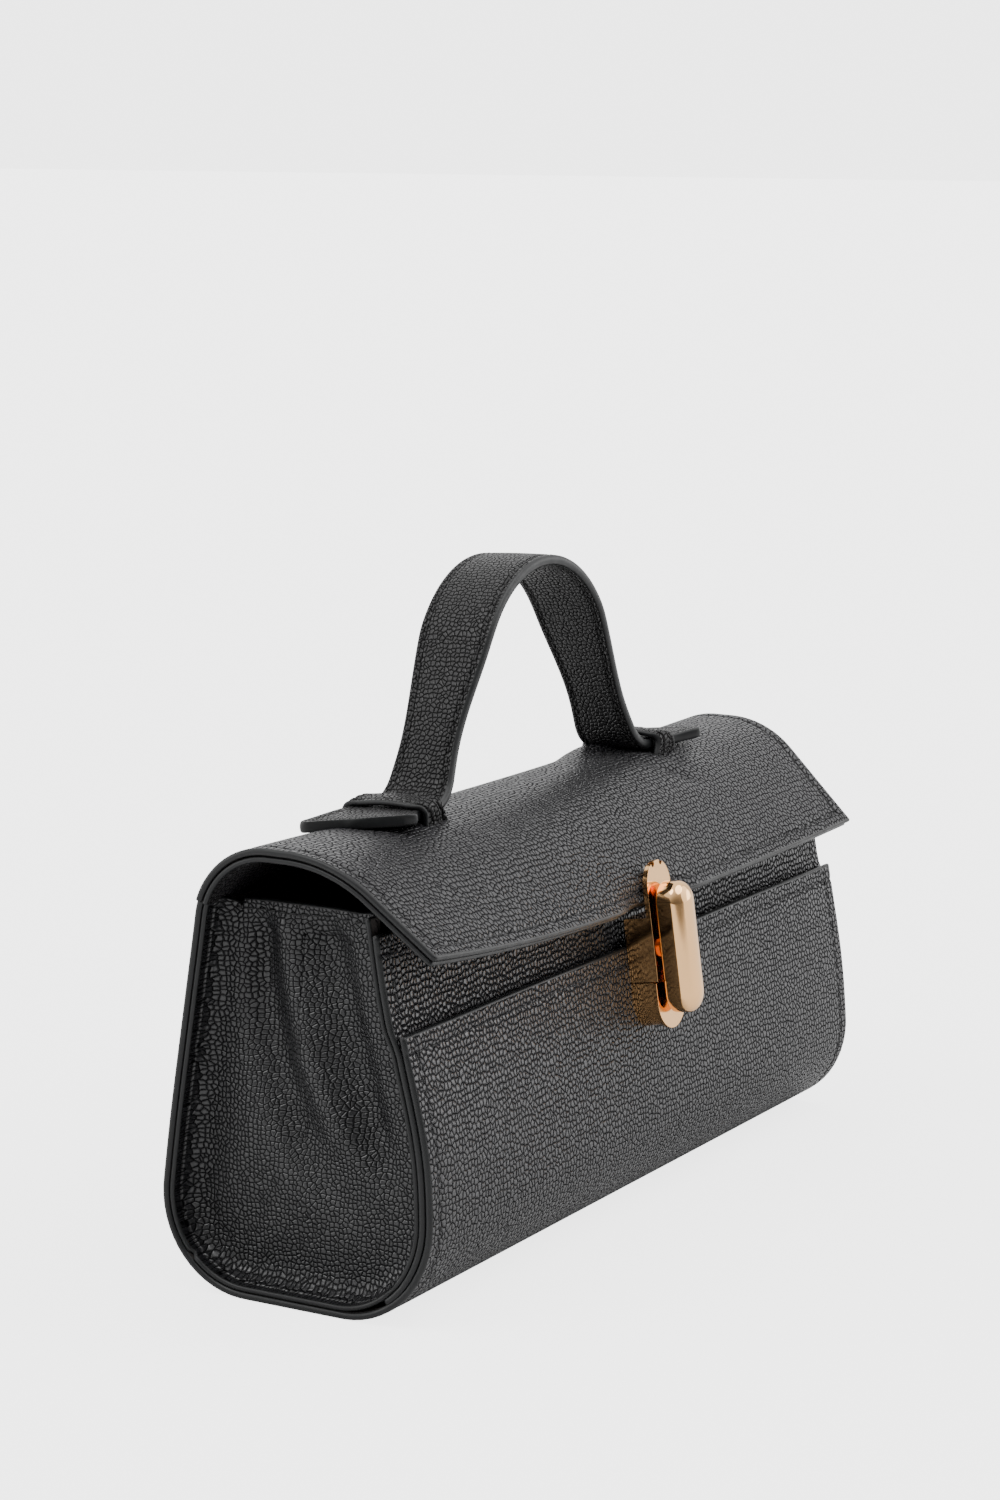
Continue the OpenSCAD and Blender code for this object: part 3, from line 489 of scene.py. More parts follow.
def ring_piece(name: str, rows: Array, marks: Array, finishes: list[Finish], capped: bool = False,
               flat: bool = False, begin: float = 0.0) -> bpy.types.Object:
    """Closed skin of a row of rings of points.

    Args:
        name: the piece's name.
        rows: rows by points of a ring by 3.
        marks: finish number of each column of faces.
        finishes: the finishes.
        capped: the first and last ring are closed by a fan to their middle.
        flat: hard corners stay hard.
        begin: how far along the whole strap its first ring is, so that the grain runs on from the next piece.

    Returns:
        The object.
    """
    laid = lay_flat(rows)
    if begin:
        laid[..., 0] += begin - laid[0, :, 0]
    if capped:
        ends = [np.repeat(rows[k].mean(0)[None], rows.shape[1], 0)[None] for k in (0, -1)]
        rows = np.concatenate([ends[0], rows, ends[1]])
        laid = np.concatenate([laid[:1], laid, laid[-1:]])
    faces = grid_faces(rows.shape[0], rows.shape[1], True)
    return put(name, rows.reshape(-1, 3), faces, np.tile(marks, rows.shape[0] - 1), finishes, flat=flat, laid=laid)


@dataclass
class Stitching:
    """Rows of sewn stitches: each one is a short thread, round in section, that dives at its two ends."""

    pitch: float = 3.3
    length: float = 2.5
    radius: float = 0.3
    dive: float = 1.3
    turn: float = 6.0
    rings: int = 5
    around: int = 6

    def template(self) -> Array:
        """One stitch about the origin: rings along x, z outwards; its middle line sinks by the dive times the radius
        times the cube of the share of the half length."""
        t = np.linspace(-1, 1, self.rings)
        a = 2 * np.pi * np.arange(self.around) / self.around
        r = self.radius * np.sqrt(np.maximum(1 - np.abs(t) ** 5, 0.02))
        x = np.repeat(t * self.length / 2, self.around)
        y = (r[:, None] * np.cos(a)).ravel()
        z = (r[:, None] * np.sin(a) - (self.dive * self.radius * np.abs(t) ** 3)[:, None]).ravel()
        return np.stack([x, y, z], -1)

    def sew(self, name: str, rows: list[tuple[Array, Array]]) -> bpy.types.Object:
        """Stitches along rows.

        Args:
            name: the piece's name.
            rows: for each row its points and the leather's outward normals there, in millimetres.

        Returns:
            One object with all the stitches.
        """
        centres, ways, ups = [], [], []
        for path, outwards in rows:
            run = lengths(path)
            count = max(1, int(run[-1] / self.pitch))
            places = (np.arange(count) + 0.5) * run[-1] / count
            centres.append(along(path, places))
            ways.append(unit(along(path, places + 0.4) - along(path, places - 0.4)))
            ups.append(unit(np.stack([np.interp(places, run, outwards[:, k]) for k in range(3)], -1)))
        centre, way, up = (np.concatenate(part) for part in (centres, ways, ups))
        across = unit(np.cross(up, way))
        turn = math.radians(self.turn)
        turned = way * math.cos(turn) + across * math.sin(turn)
        across = unit(np.cross(up, turned))
        one = self.template()
        points = centre[:, None] + sum(np.einsum("k,ni->nki", one[:, k], direction)
                                       for k, direction in enumerate((turned, across, up)))
        faces = grid_faces(self.rings, self.around, True)
        last = (self.rings - 1) * self.around  # the caps are two four-sided faces each, for six points around
        caps = np.array([[3, 2, 1, 0], [5, 4, 3, 0], [last, last + 1, last + 2, last + 3],
                         [last, last + 3, last + 4, last + 5]])
        every = np.concatenate([faces, caps])[None] + (len(one) * np.arange(len(centre)))[:, None, None]
        return put(name, points.reshape(-1, 3), every.reshape(-1, 4), np.zeros(every.shape[0] * every.shape[1]),
                   [THREAD], merge=1e-6)


def carry(piece: bpy.types.Object, slot: str, body: str, *nodes: str) -> None:
    """Lets a piece ride on a body and stand for its nodes, and reports it."""
    if nodes:
        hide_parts(*nodes)
    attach(piece, body)
    LOG.info("%s: %d faces", piece.name, len(piece.data.polygons))


# Body


@dataclass
class BodySection:
    """Outline of the bag across its length, in Y and Z, and how the soft leather stands off it."""

    fold_height: float = 109.0
    fold_half_depth: float = 30.0
    foot_half_depth: float = 41.6
    foot_radius: float = 26.0
    bend_radius: float = 23.6
    ridge_height: float = 125.0
    front_bulge: float = 3.2
    belly_height: float = 46.0
    half_length: float = 131.0

    def __post_init__(self) -> None:
        """Works out the lean of the walls and the bend behind the ridge, as the part's source does."""
        self.foot_y = self.foot_half_depth - self.foot_radius
        offset, rise = self.fold_half_depth - self.foot_y, self.fold_height - self.foot_radius
        self.lean = math.degrees(math.atan2(rise, offset) - math.acos(self.foot_radius / math.hypot(offset, rise)))
        self.out = np.array([math.cos(math.radians(self.lean)), math.sin(math.radians(self.lean))])
        self.bend = (self.fold_half_depth - (self.bend_radius + self.out[1] * (
            self.ridge_height - self.bend_radius - self.fold_height)) / self.out[0],
            self.ridge_height - self.bend_radius)

    def outline(self, inset: float, back_top: float, front_top: float, front_shift: float = 0.0) -> Array:
        """Outline moved inwards, from its back top down, under the base and up to its front top.

        Above the tangent point the back follows the bend behind the ridge.

        Args:
            inset: distance inwards.
            back_top: height where the back ends.
            front_top: height where the front ends.
            front_shift: how much further back the front wall stands.

        Returns:
            Points in Y and Z about a millimetre apart.
        """
        radius, up = self.foot_radius - inset, np.array([-self.out[1], self.out[0]])
        base = np.array([self.foot_y, self.foot_radius]) + radius * self.out
        bend = self.bend_radius - inset
        tangent = self.bend[1] + bend * self.out[1]
        parts = []
        if back_top > tangent:
            first = math.degrees(math.asin((back_top - self.bend[1]) / bend))
            parts.append(arc(self.bend, bend, first, self.lean, 6))
            start = parts[0][-1]
        else:
            start = base + up * (back_top - base[1]) / up[1]
        parts.append(np.linspace(start, base, 80))
        parts.append(arc((self.foot_y, self.foot_radius), radius, self.lean, -90, 34))
        parts.append(np.linspace([self.foot_y, inset], [-self.foot_y + front_shift, inset], 28))
        parts.append(arc((-self.foot_y + front_shift, self.foot_radius), radius, -90, -180 - self.lean, 34))
        front = parts[-1][-1]
        end = front + np.array([-up[0], up[1]]) * (front_top - front[1]) / up[1]
        parts.append(np.linspace(front, end, 80))
        path = np.concatenate(parts)
        keep = np.concatenate([[True], np.linalg.norm(np.diff(path, axis=0), axis=1) > 1e-6])
        return path[keep]

    def soften(self, p: Array) -> Array:
        """Moves points as the filled, handled leather stands: a belly low on the front, most at the left end,
        a slighter one behind, and shallow waves, all fading out at the base and the fold."""
        x, y, z = p[..., 0], p[..., 1], p[..., 2]
        front, back = ease(-y, 8, 30), ease(y, 8, 30)
        low = bell(z, self.belly_height, 27) * ease(z, 0, 12)
        calm = ease(z, 2, 22) * (1 - ease(z, 84, 104))
        left, right = bell(x, -self.half_length, 62), bell(x, self.half_length, 50)
        shift = -front * low * (0.5 + self.front_bulge * left + 1.2 * right)
        shift += back * low * 0.5
        shift += 0.32 * calm * (front * np.sin(x / 21 + 1.3) * np.sin(z / 17 + 0.6)
                                + back * np.sin(x / 27 + 2.2) * np.sin(z / 21 + 1.1))
        moved = p.copy()
        moved[..., 1] += shift
        return moved


@dataclass
class Body:
    """Back, base and pocket wall in one leather, the front wall, the end walls, linings and the inner pocket."""

    section: BodySection
    half_length: float = 131.0
    wall: float = 2.0
    lining: float = 0.8
    lining_inset: float = 3.4
    lining_half: float = 120.5
    pocket_top: float = 79.0
    pocket_blend: tuple[float, float] = (74.0, 82.0)
    panel_top: float = 104.8
    panel_inset: float = 3.5
    edge_inset: float = 2.1
    stitch_margin: float = 4.2
    stitch_depth: float = 0.2
    groove_width: float = 0.75
    step: float = 3.2
    path_step: float = 3.0
    lining_step: float = 4.0
    pocket_half: float = 70.0
    pocket_inset: float = 4.3

    def strip(self, path: Array, normal: Array, half: float, step: float, dip: float = 0.0) -> Array:
        """Grid over a section path swept along X, with a groove where the stitches run.

        Args:
            path: points in Y and Z.
            normal: outward normals of those points.
            half: half of the length along X.
            step: coarse step along X.
            dip: depth of the stitched groove near the two ends.

        Returns:
            Rows along X, columns along the path.
        """
        x = spaced(2 * half, step) - half
        grid = at_x(x[:, None], path)
        if dip:
            groove = dip * bell(half - np.abs(x), self.stitch_margin, self.groove_width)
            grid[..., 1:] -= groove[:, None, None] * normal[None]
        return grid

    def faces(self, path: Array, normal: Array, dip: float) -> tuple[Array, Array]:
        """Shown and hidden face of a leather wall, with the groove along its ends and below its top edge."""
        outer = self.strip(path, normal, self.half_length, self.step, dip)
        inner = self.strip(path - self.wall * normal, normal, self.half_length, self.step)
        run = lengths(path)
        groove = dip * bell(run[-1] - run, self.stitch_margin, self.groove_width)
        outer[..., 1:] -= groove[None, :, None] * normal[None]
        return outer, inner

    def sewn_wall(self, node: str, outer: Array, inner: Array, rows: list[tuple[Array, Array]]) -> None:
        """Leather wall with painted edges, and its stitches, for one node."""
        piece = sheet_piece(f"{node}_leather", self.section.soften(outer), self.section.soften(inner),
                            [BODY_LEATHER, EDGE_PAINT, FLESH], (0.8, 0.8, 0, 0.8))
        self.keep(piece, "leather", node)
        self.keep(Stitching().sew(f"{node}_stitches", rows), "leather")

    def stitch_rows(self, path: Array, normal: Array, use: Array, sag: float = 0.0) -> list[tuple[Array, Array]]:
        """Stitch rows of a wall.

        Args:
            path: section path in Y and Z.
            normal: its outward normals.
            use: which of its points the rows at the two ends run along.
            sag: how far the row below the top edge sinks in the middle of the bag.

        Returns:
            Points and normals of the rows at the left end, the right end and the top.
        """
        reach = self.half_length - self.stitch_margin
        thread = path - self.stitch_depth * normal
        rows = [(self.section.soften(at_x(s * reach, thread[use])), at_x(0.0, normal[use])) for s in (-1, 1)]
        run = lengths(path)
        at = int(np.argmin(np.abs(run[-1] - run - self.stitch_margin)))
        x = np.linspace(-1, 1, 90) * reach
        top = at_x(x, thread[at])
        top[:, 2] -= sag * np.cos(np.pi * x / (2 * self.half_length))
        return [*rows, (self.section.soften(top), at_x(0.0 * x, normal[at]))]

    def wrap(self) -> None:
        """Leather that is back wall, base and pocket wall; its top at the back goes on as the flap, and its edge in
        front sags in the middle."""
        path = respaced(self.section.outline(0, self.section.fold_height, self.pocket_top), self.path_step)
        normal = normals(path)
        outer, inner = self.faces(path, normal, 0.28)
        run = lengths(path)
        sag = 0.5 * np.cos(np.pi * outer[..., 0] / (2 * self.half_length)) * bell(run[-1] - run, 0, 12)[None]
        outer[..., 2] -= sag
        inner[..., 2] -= sag
        self.sewn_wall("body_wrap", outer, inner, self.stitch_rows(path, normal, run > 1, 0.45))

    def front_path(self, inset: float, low: float, top: float) -> Array:
        """Front part of the outline between two heights, running up."""
        shift = (inset - self.edge_inset) / self.section.out[0]
        path = self.section.outline(self.edge_inset, 60, top, shift)
        return respaced(path[(path[:, 0] < 0) & (path[:, 1] >= low)], self.path_step)

    def panel(self) -> None:
        """Front wall behind the slip pocket; its ends come forward to meet the pocket wall's edge."""
        path = self.front_path(self.panel_inset, 7.0, self.panel_top)
        normal = normals(path)
        outer, inner = self.faces(path, normal, 0.25)
        reach = 1 - ease(self.half_length - np.abs(outer[:, 0, 0]), 2, 11)
        forward = (self.panel_inset - self.edge_inset) * reach[:, None] * (1 - ease(path[:, 1], *self.pocket_blend))
        for grid in (outer, inner):
            grid[..., 1:] += forward[..., None] * normal[None]
        self.sewn_wall("front_panel", outer, inner,
                       self.stitch_rows(path, normal, path[:, 1] > self.pocket_top + 1.5))

    def linings(self) -> None:
        """Twill on the inner faces: back, front wall, pocket wall and base. Only the pocket's follows the soft wall."""
        section, inside = self.section, self.lining_inset
        back = section.outline(inside, 107.5, 30)
        base = np.linspace([section.foot_y, inside], [-section.foot_y + 0.3, inside], 20)
        parts = {
            "back_lining": (back[back[:, 0] > section.foot_y], self.lining, self.lining_half),
            "front_lining": (self.front_path(6.9, 6.2, 103.3), self.lining, self.lining_half),
            "pocket_lining": (self.front_path(2.1, 26.0, 77.5), 0.6, 126.0),
            "base_lining": (base, self.lining, self.lining_half),
        }
        for node, (path, thick, half) in parts.items():
            path = respaced(path, self.lining_step)
            normal = normals(path)
            grids = [self.strip(path - depth * normal, normal, half, self.lining_step) for depth in (0.0, thick)]
            if node == "pocket_lining":
                grids = [section.soften(grid) for grid in grids]
            self.keep(sheet_piece(f"{node}_twill", *grids, [LINING] * 3, steps=3), "lining", node)

    def inner_pocket(self) -> None:
        """Flat slip pocket on the back lining: a patch with a painted edge, sewn on three sides, whose open top
        stands off the wall by the cosine of the place along it."""
        path = self.section.outline(self.pocket_inset, 88, 30)
        path = respaced(path[(path[:, 0] > 0) & (path[:, 1] > 24)], self.path_step)
        normal = normals(path)
        x = spaced(2 * self.pocket_half, 3.0) - self.pocket_half
        gape = 0.8 * np.outer(np.cos(np.pi * x / 150) * ease(self.pocket_half - np.abs(x), 2, 12),
                              ease(path[:, 1], 30, 84))
        outer, inner = (at_x(x[:, None], path - (gape[..., None] + thick) * normal) for thick in (0.0, 1.0))
        piece = sheet_piece("inner_pocket_patch", outer, inner, [LINING, EDGE_PAINT, LINING], (0.5,) * 4, 3)
        self.keep(piece, "lining", "inner_pocket")
        thread, sewn_half = path - 1.05 * normal, self.pocket_half - 4
        rows = [(at_x(s * sewn_half, thread), at_x(0.0, -normal)) for s in (-1, 1)]
        at = int(np.argmin(np.abs(path[:, 1] - 28)))
        across = np.linspace(-sewn_half, sewn_half, 60)
        rows.append((at_x(across, thread[at]), at_x(0.0 * across, -normal[at])))
        self.keep(Stitching().sew("inner_pocket_stitches", rows), "lining")

    @staticmethod
    def keep(piece: bpy.types.Object, slot: str, *nodes: str) -> None:
        """Lets a piece ride on the body and stand for its nodes."""
        carry(piece, slot, "bag_body", *nodes)

    def build(self) -> None:
        """Makes every piece of the body but the end walls."""
        self.wrap()
        self.panel()
        self.linings()
        self.inner_pocket()


@dataclass
class EndWall:
    """Soft end wall: a flange turned out along the wall edges, a face that folds inwards, and a sewn hem."""

    body: Body
    side: Side
    face: float = 123.0
    leather: float = 1.5
    top: float = 109.5
    inset: float = 2.1
    front_shift: float = 3.54
    corner: float = 5.4
    fold_drop: float = 62.0
    fold_width: float = 6.5
    spine_foot: float = 44.0
    mitre_height: float = 9.5
    mitre_depth: float = 1.1
    hem: float = 8.0
    hem_thick: float = 1.1
    hem_stitch: float = 3.4

    def outline(self) -> tuple[Array, Array]:
        """U-shaped outline of the flange's outer side and its outward normals."""
        path = self.body.section.outline(self.inset, self.top - 0.4, self.top, self.front_shift)
        run = lengths(path)[-1]
        path = along(path, np.concatenate([np.linspace(0, 8, 10), np.linspace(8, run - 8, 150)[1:-1],
                                           np.linspace(run - 8, run, 10)]))
        return path, normals(path)

    def depth(self, y: Array, z: Array) -> Array:
        """How far the face lies inwards: two folds with a ridge between them run from the hem down and forwards,
        and fade above the base; under them stands a low belly, and small dents lie over all of it."""
        down = (self.top - z) / self.fold_drop
        back, ridge, front = 17 - 14 * np.abs(down) ** 2.2, 8 - 19 * down**2, -4 - 18 * np.abs(down) ** 1.3
        drawn = ease(down, 0.0, 0.16) * (1 - ease(down, 0.9, 1.4))
        folds = drawn * (4.4 * bell(y, back, self.fold_width) + 3.6 * bell(y, front, self.fold_width)
                         - 2.4 * bell(y, ridge, 5.0))
        dish = 1.4 * bell(y, 0, 22) * ease(-down, -1.2, 0)
        belly = 2.2 * bell(z, 42, 24) * bell(y, 9, 18)
        dents = 0.4 * np.sin(y / 4.6 + z / 19) * np.sin(z / 9 + y / 15 + 1.0) * bell(y, 2, 22)
        return dish + folds - belly + dents

    def grids(self) -> tuple[Array, Array, int]:
        """Shown and hidden face of the leather.

        Rows run inwards from the flange's edge: the flange, a quarter circle at its corner, then the face, whose rows
        are shares of the way from the rim to a spine in the middle and which lies inwards by the depth there.

        Returns:
            The two grids, and the row at which the face starts.
        """
        path, normal = self.outline()
        close = 1.4 * (1 - ease(path[:, 1], *self.body.pocket_blend)) * ease(-path[:, 0], 4, 16)
        path = path - np.column_stack([close, np.zeros(len(path))])
        out_x = self.body.half_length - 0.2
        bend_x = self.face + self.corner
        flange = np.concatenate([[0, 0.5, 1.0, 1.6, 2.3], np.linspace(3.2, out_x - bend_x, 3)])
        middle_inset = self.inset + self.leather + self.corner
        angles = np.radians(np.linspace(0, 90, 7)[1:])
        spread = np.concatenate([np.linspace(0, 0.2, 8)[1:], np.linspace(0.2, 1, 26)[1:]])
        shown, hidden = [], []
        run = lengths(path)
        # the flange is cut back in a notch at each lower corner, where its mitre is
        mitre = sum(bell(run, run[int(np.argmin(np.abs(path[:, 1] - self.mitre_height)
                                                + 99 * (path[:, 0] * way < 0)))], 0.7) for way in (-1, 1))
        for d in flange:
            lip = self.mitre_depth * mitre * (1 - min(1, d / 2.5))
            for rows, inward in ((shown, self.leather), (hidden, 0.0)):
                rows.append(np.column_stack([out_x - d - lip, path - inward * normal]))
        for a in angles:
            for rows, radius in ((shown, self.corner), (hidden, self.corner + self.leather)):
                yz = path - (middle_inset - radius * math.cos(a) - self.inset) * normal
                rows.append(np.column_stack([np.full(len(path), bend_x - radius * math.sin(a)), yz]))
        rim = path - (middle_inset - self.inset) * normal
        rim[:, 1] += np.where(rim[:, 0] > 2, (rim[-1, 1] - rim[0, 1]) * ease(rim[:, 1], 88, rim[0, 1]), 0)
        spine = np.column_stack([np.full(len(rim), 2.0), np.maximum(rim[:, 1], self.spine_foot)])
        for q in spread:
            yz = rim + (spine - rim) * q
            near = ease(q * np.linalg.norm(spine - rim, axis=1), 0, 9)
            hem = self.hem_thick * ease(yz[:, 1], self.top - self.hem - 0.7, self.top - self.hem)
            groove = 0.3 * bell(yz[:, 1], self.top - self.hem_stitch, 0.7)
            x = self.face - near * self.depth(yz[:, 0], yz[:, 1]) + near * (hem - groove)
            shown.append(np.column_stack([x, yz]))
            hidden.append(np.column_stack([x - self.leather - near * hem, yz]))
        outer, inner = np.array(shown), np.array(hidden)
        for grid in (outer, inner):
            grid[..., 0] *= self.side.value
        soft = self.body.section.soften
        rim_rows = len(flange) + len(angles)
        weight = np.ones(len(outer))
        weight[rim_rows:] = 1 - spread**0.7
        outer = outer + weight[:, None, None] * (soft(outer) - outer)
        inner = inner + weight[:, None, None] * (soft(inner) - inner)
        return outer, inner, rim_rows - 1

    def build(self) -> None:
        """Makes the leather, its lining and its stitches."""
        outer, inner, start = self.grids()
        word = self.side.word
        piece = sheet_piece(f"gusset_{word}_leather", outer, inner, [GUSSET_LEATHER, EDGE_PAINT, FLESH],
                            (0.9, 0, 0.5, 0.5), laid=outer[..., [1, 2, 0]])
        self.body.keep(piece, "gusset_leather", f"gusset_{word}")
        self.lining(inner[start:])
        self.stitches(outer[start:])

    def lining(self, hidden: Array) -> None:
        """Twill behind the face: the hidden side of the leather, moved inwards and cut below the hem."""
        cut = hidden.copy()
        cut[..., 2] = np.minimum(cut[..., 2], self.top - 2.5)
        outer, inner = (cut - [self.side.value * depth, 0, 0] for depth in (0.15, 0.15 + self.body.lining))
        piece = sheet_piece(f"gusset_lining_{self.side.word}_twill", outer, inner, [LINING] * 3, (0, 0, 0, 0), 2)
        self.body.keep(piece, "lining", f"gusset_lining_{self.side.word}")

    def stitches(self, shown: Array) -> None:
        """Row below the hem's edge, from the front flange to the back one."""
        flat = shown.reshape(-1, 3)
        y = np.linspace(-20.5, 23.5, 60)
        z = self.top - self.hem_stitch
        near = flat[np.abs(flat[:, 2] - z) < 1.4]
        near = near[np.argsort(near[:, 1])]
        x = np.interp(y, near[:, 1], near[:, 0])
        x = np.convolve(np.pad(x, 3, mode="edge"), np.ones(7) / 7, "valid")
        row = np.column_stack([x + self.side.value * 0.1, y, np.full(len(y), z)])
        up = np.tile([float(self.side.value), 0.0, 0.1], (len(y), 1))
        self.body.keep(Stitching().sew(f"gusset_{self.side.word}_stitches", [(row, up)]), "gusset_leather")


# Flap


@dataclass
class Flap:
    """Flap that starts at the fold of the back wall: bend, ridge, front bend and slope down to its edge.

    The front bend's radius, its turn and the straight run change along the bag with the square of the distance from
    the middle, and differ from end to end, as the left end stands off the bag and the right end hangs lower.
    """

    section: BodySection
    half_length: float = 132.0
    ridge_flat: float = 6.0
    leather: float = 2.0
    lining: float = 1.1
    lining_inset: float = 2.7
    stitch_margin: float = 3.6
    turn: tuple[float, float, float] = (35.5, 52.0, 45.0)
    radius: tuple[float, float, float] = (46.0, 38.0, 30.0)
    run: tuple[float, float, float] = (23.7, 21.5, 29.6)
    sag: float = 1.6
    depth_from_fold: float = 96.0
    lock_gap: float = 8.0
    plate_clearance: float = 0.9
    lock: "Lock" = field(default_factory=lambda: Lock(BodySection()))
    start: tuple[float, float, float] = (0.0, 30.0, 109.0)
    end: tuple[float, float, float] = (0.0, 22.0, 120.0)

    def across(self, values: tuple[float, float, float], x: Array) -> Array:
        """Value at X from its values at the left end, the middle and the right end, as a parabola."""
        u = x / self.half_length
        left, middle, right = values
        return middle + (right - left) / 2 * u + ((right + left) / 2 - middle) * u * u

    def at(self, x: Array, v: Array, inset: Array) -> tuple[Array, Array]:
        """Points of the flap.

        From the fold the surface follows the bend behind the ridge, runs level over the ridge, bends over the front
        radius until its turn is reached, and goes straight on to the edge. A point's distance along it is its share
        of the whole; it then moves along the normal by the wave less the inset.

        Args:
            x: places along the bag.
            v: share of the way from the fold, 0, to the edge, 1.
            inset: depth under the outer face.

        Returns:
            The points, and the outward normals in Y and Z.
        """
        section = self.section
        bend, first = section.bend_radius, math.asin((section.fold_height - section.bend[1]) / section.bend_radius)
        radius, run = self.across(self.radius, x), self.across(self.run, x)
        turn = np.radians(self.across(self.turn, x))
        back = bend * (math.pi / 2 - first)
        ridge_end = back + self.ridge_flat
        front = ridge_end + radius * turn
        s = v * (front + run)
        angle = np.where(s < back, first + s / bend, math.pi / 2)
        angle = np.where(s > ridge_end, math.pi / 2 + (s - ridge_end) / radius, angle)
        angle = np.minimum(angle, math.pi / 2 + turn)
        ny, nz = np.cos(angle), np.sin(angle)
        y = section.bend[0] + np.where(s < back, bend * ny, np.where(s > ridge_end, radius * ny, 0)
                                       - np.clip(s - back, 0, self.ridge_flat))
        z = np.where(s < back, section.bend[1] + bend * nz,
                     section.ridge_height + np.where(s > ridge_end, radius * (nz - 1), 0))
        rest = np.clip(s - front, 0, None)
        y, z = y - rest * np.cos(turn), z - rest * np.sin(turn)
        z = z - self.sag * (1 - (x / 131) ** 2) * ease(z, 104, 122)
        lift = self.wave(x, y, z)
        p = np.stack(np.broadcast_arrays(x, y + ny * (lift - inset), z + nz * (lift - inset)), -1)
        return self.press(p, inset), np.stack(np.broadcast_arrays(ny, nz), -1)

    def press(self, p: Array, inset: Array) -> Array:
        """Leather held back behind the lock's front plate: no point under the plate stands in front of its back."""
        local = self.lock.local(p)
        radius = np.hypot(local[..., 0], np.maximum(np.abs(local[..., 1]) - self.lock.plate_straight / 2, 0))
        near = 1 - ease(radius, self.lock.plate_radius + 3.0, self.lock.plate_radius + 20)
        over = np.maximum(local[..., 2] + inset - self.lock.plate_back + self.plate_clearance, 0)
        local[..., 2] -= near * over
        return self.lock.place(local)

    def wave(self, x: Array, y: Array, z: Array) -> Array:
        """Small unevenness of the leather: it is drawn up at the loops, sinks a little between them, and has short
        creases that start at the front foot of each loop."""
        top = ease(z, 112, 124)
        between = 0.3 * bell(np.abs(x), 65, 17) - 1.1 * bell(np.abs(x), 82, 13) * bell(y, 4, 14)
        lift = 1.9 * bell(np.abs(x), 60, 11) * ease(y, 3, 13) * ease(z, 112, 119) + top * between * ease(z, 109, 116)
        for k, (dy, way) in enumerate(((-12, 1.0), (-17, 0.72), (-9, 1.25))):
            dx, dy = x - 56 - 5 * k, y - dy
            crease, off = dx * math.cos(way) - dy * math.sin(way), dx * math.sin(way) + dy * math.cos(way)
            lift = lift - 0.8 * bell(off, 0, 2.4) * bell(crease, 0, 9) * ease(z, 112, 118)
        return lift

    def sheet(self, name: str, top: float, low: float, finishes: list[Finish], trim: float, groove: float,
              close: float = 0.0) -> bpy.types.Object:
        """One layer of the flap.

        Args:
            name: the piece's name.
            top: depth of its upper face.
            low: depth of its lower face.
            finishes: upper face, edge, lower face.
            trim: distance of its edges from the flap's edges.
            groove: depth of the stitched groove in the upper face.
            close: how much its upper face rises within the last millimetres of the edge.

        Returns:
            The object.
        """
        x = spaced(2 * (self.half_length - trim), 3.0) - (self.half_length - trim)
        total = self.depth_from_fold
        v = spaced(total, 2.4) / total
        v = trim / total + v * (1 - 2 * trim / total)
        xx, vv = np.meshgrid(x, v, indexing="ij")
        to_edge = np.minimum(self.half_length - np.abs(xx), (1 - vv) * total)
        dip = groove * bell(to_edge, self.stitch_margin, 0.7)
        outer, _ = self.at(xx, vv, top + dip - close * (1 - ease(to_edge, 5, 10)))
        inner, _ = self.at(xx, vv, np.full_like(xx, low))
        return sheet_piece(name, outer, inner, finishes, (0.85, 0.85, 0, 0.85))

    def rows(self, depth: float, outwards: float) -> list[tuple[Array, Array]]:
        """Stitch rows up the two ends and along the edge, where the lock leaves a gap.

        Args:
            depth: depth of the thread under the outer face.
            outwards: 1 for the outer face, -1 for the inner one.

        Returns:
            Points and normals of each row.
        """
        end, edge = self.half_length - self.stitch_margin, 1 - self.stitch_margin / self.depth_from_fold
        v = np.linspace(0.06, edge, 90)
        x = np.linspace(-end, end, 160)
        lines = [(np.full_like(v, -end), v), (x[x < -self.lock_gap], edge), (x[x > self.lock_gap], edge),
                 (np.full_like(v, end), v)]
        rows = []
        for xs, vs in lines:
            p, n = self.at(xs, vs + 0.0 * xs, np.full_like(xs, depth))
            rows.append((p, at_x(0.0, outwards * n)))
        return rows

    def build(self) -> None:
        """Makes the leather, the stiffener, the lining and the stitches, and hides the nodes they stand for."""
        layers = [
            ("flap_leather_hide", 0.0, self.leather, [BODY_LEATHER, EDGE_PAINT, FLESH], 0.0, 0.5, 0.0, "leather",
             "flap_leather"),
            ("flap_stiffener", 2.08, 2.6, [BOARD] * 3, 9.0, 0.0, 0.0, "board", "flap_board"),
            ("flap_lining_hide", self.lining_inset, self.lining_inset + self.lining,
             [FLESH, EDGE_PAINT, FLAP_LINING], 0.0, 0.0, 0.45, "flap_lining_leather", "flap_lining"),
        ]
        for name, top, low, finishes, trim, groove, close, slot, node in layers:
            piece = self.sheet(name, top, low, finishes, trim, groove, close)
            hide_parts(node)
            self.keep(piece, slot)
        self.keep(Stitching().sew("flap_stitches", self.rows(0.4, 1.0)), "leather")
        self.keep(Stitching().sew("flap_lining_stitches", self.rows(self.lining_inset + self.lining, -1.0)),
                  "flap_lining_leather")

    def keep(self, piece: bpy.types.Object, slot: str) -> None:
        """Bakes a piece's placement into its mesh and reports it."""
        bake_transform(piece)
        LOG.info("%s: %d faces", piece.name, len(piece.data.polygons))


# Handle


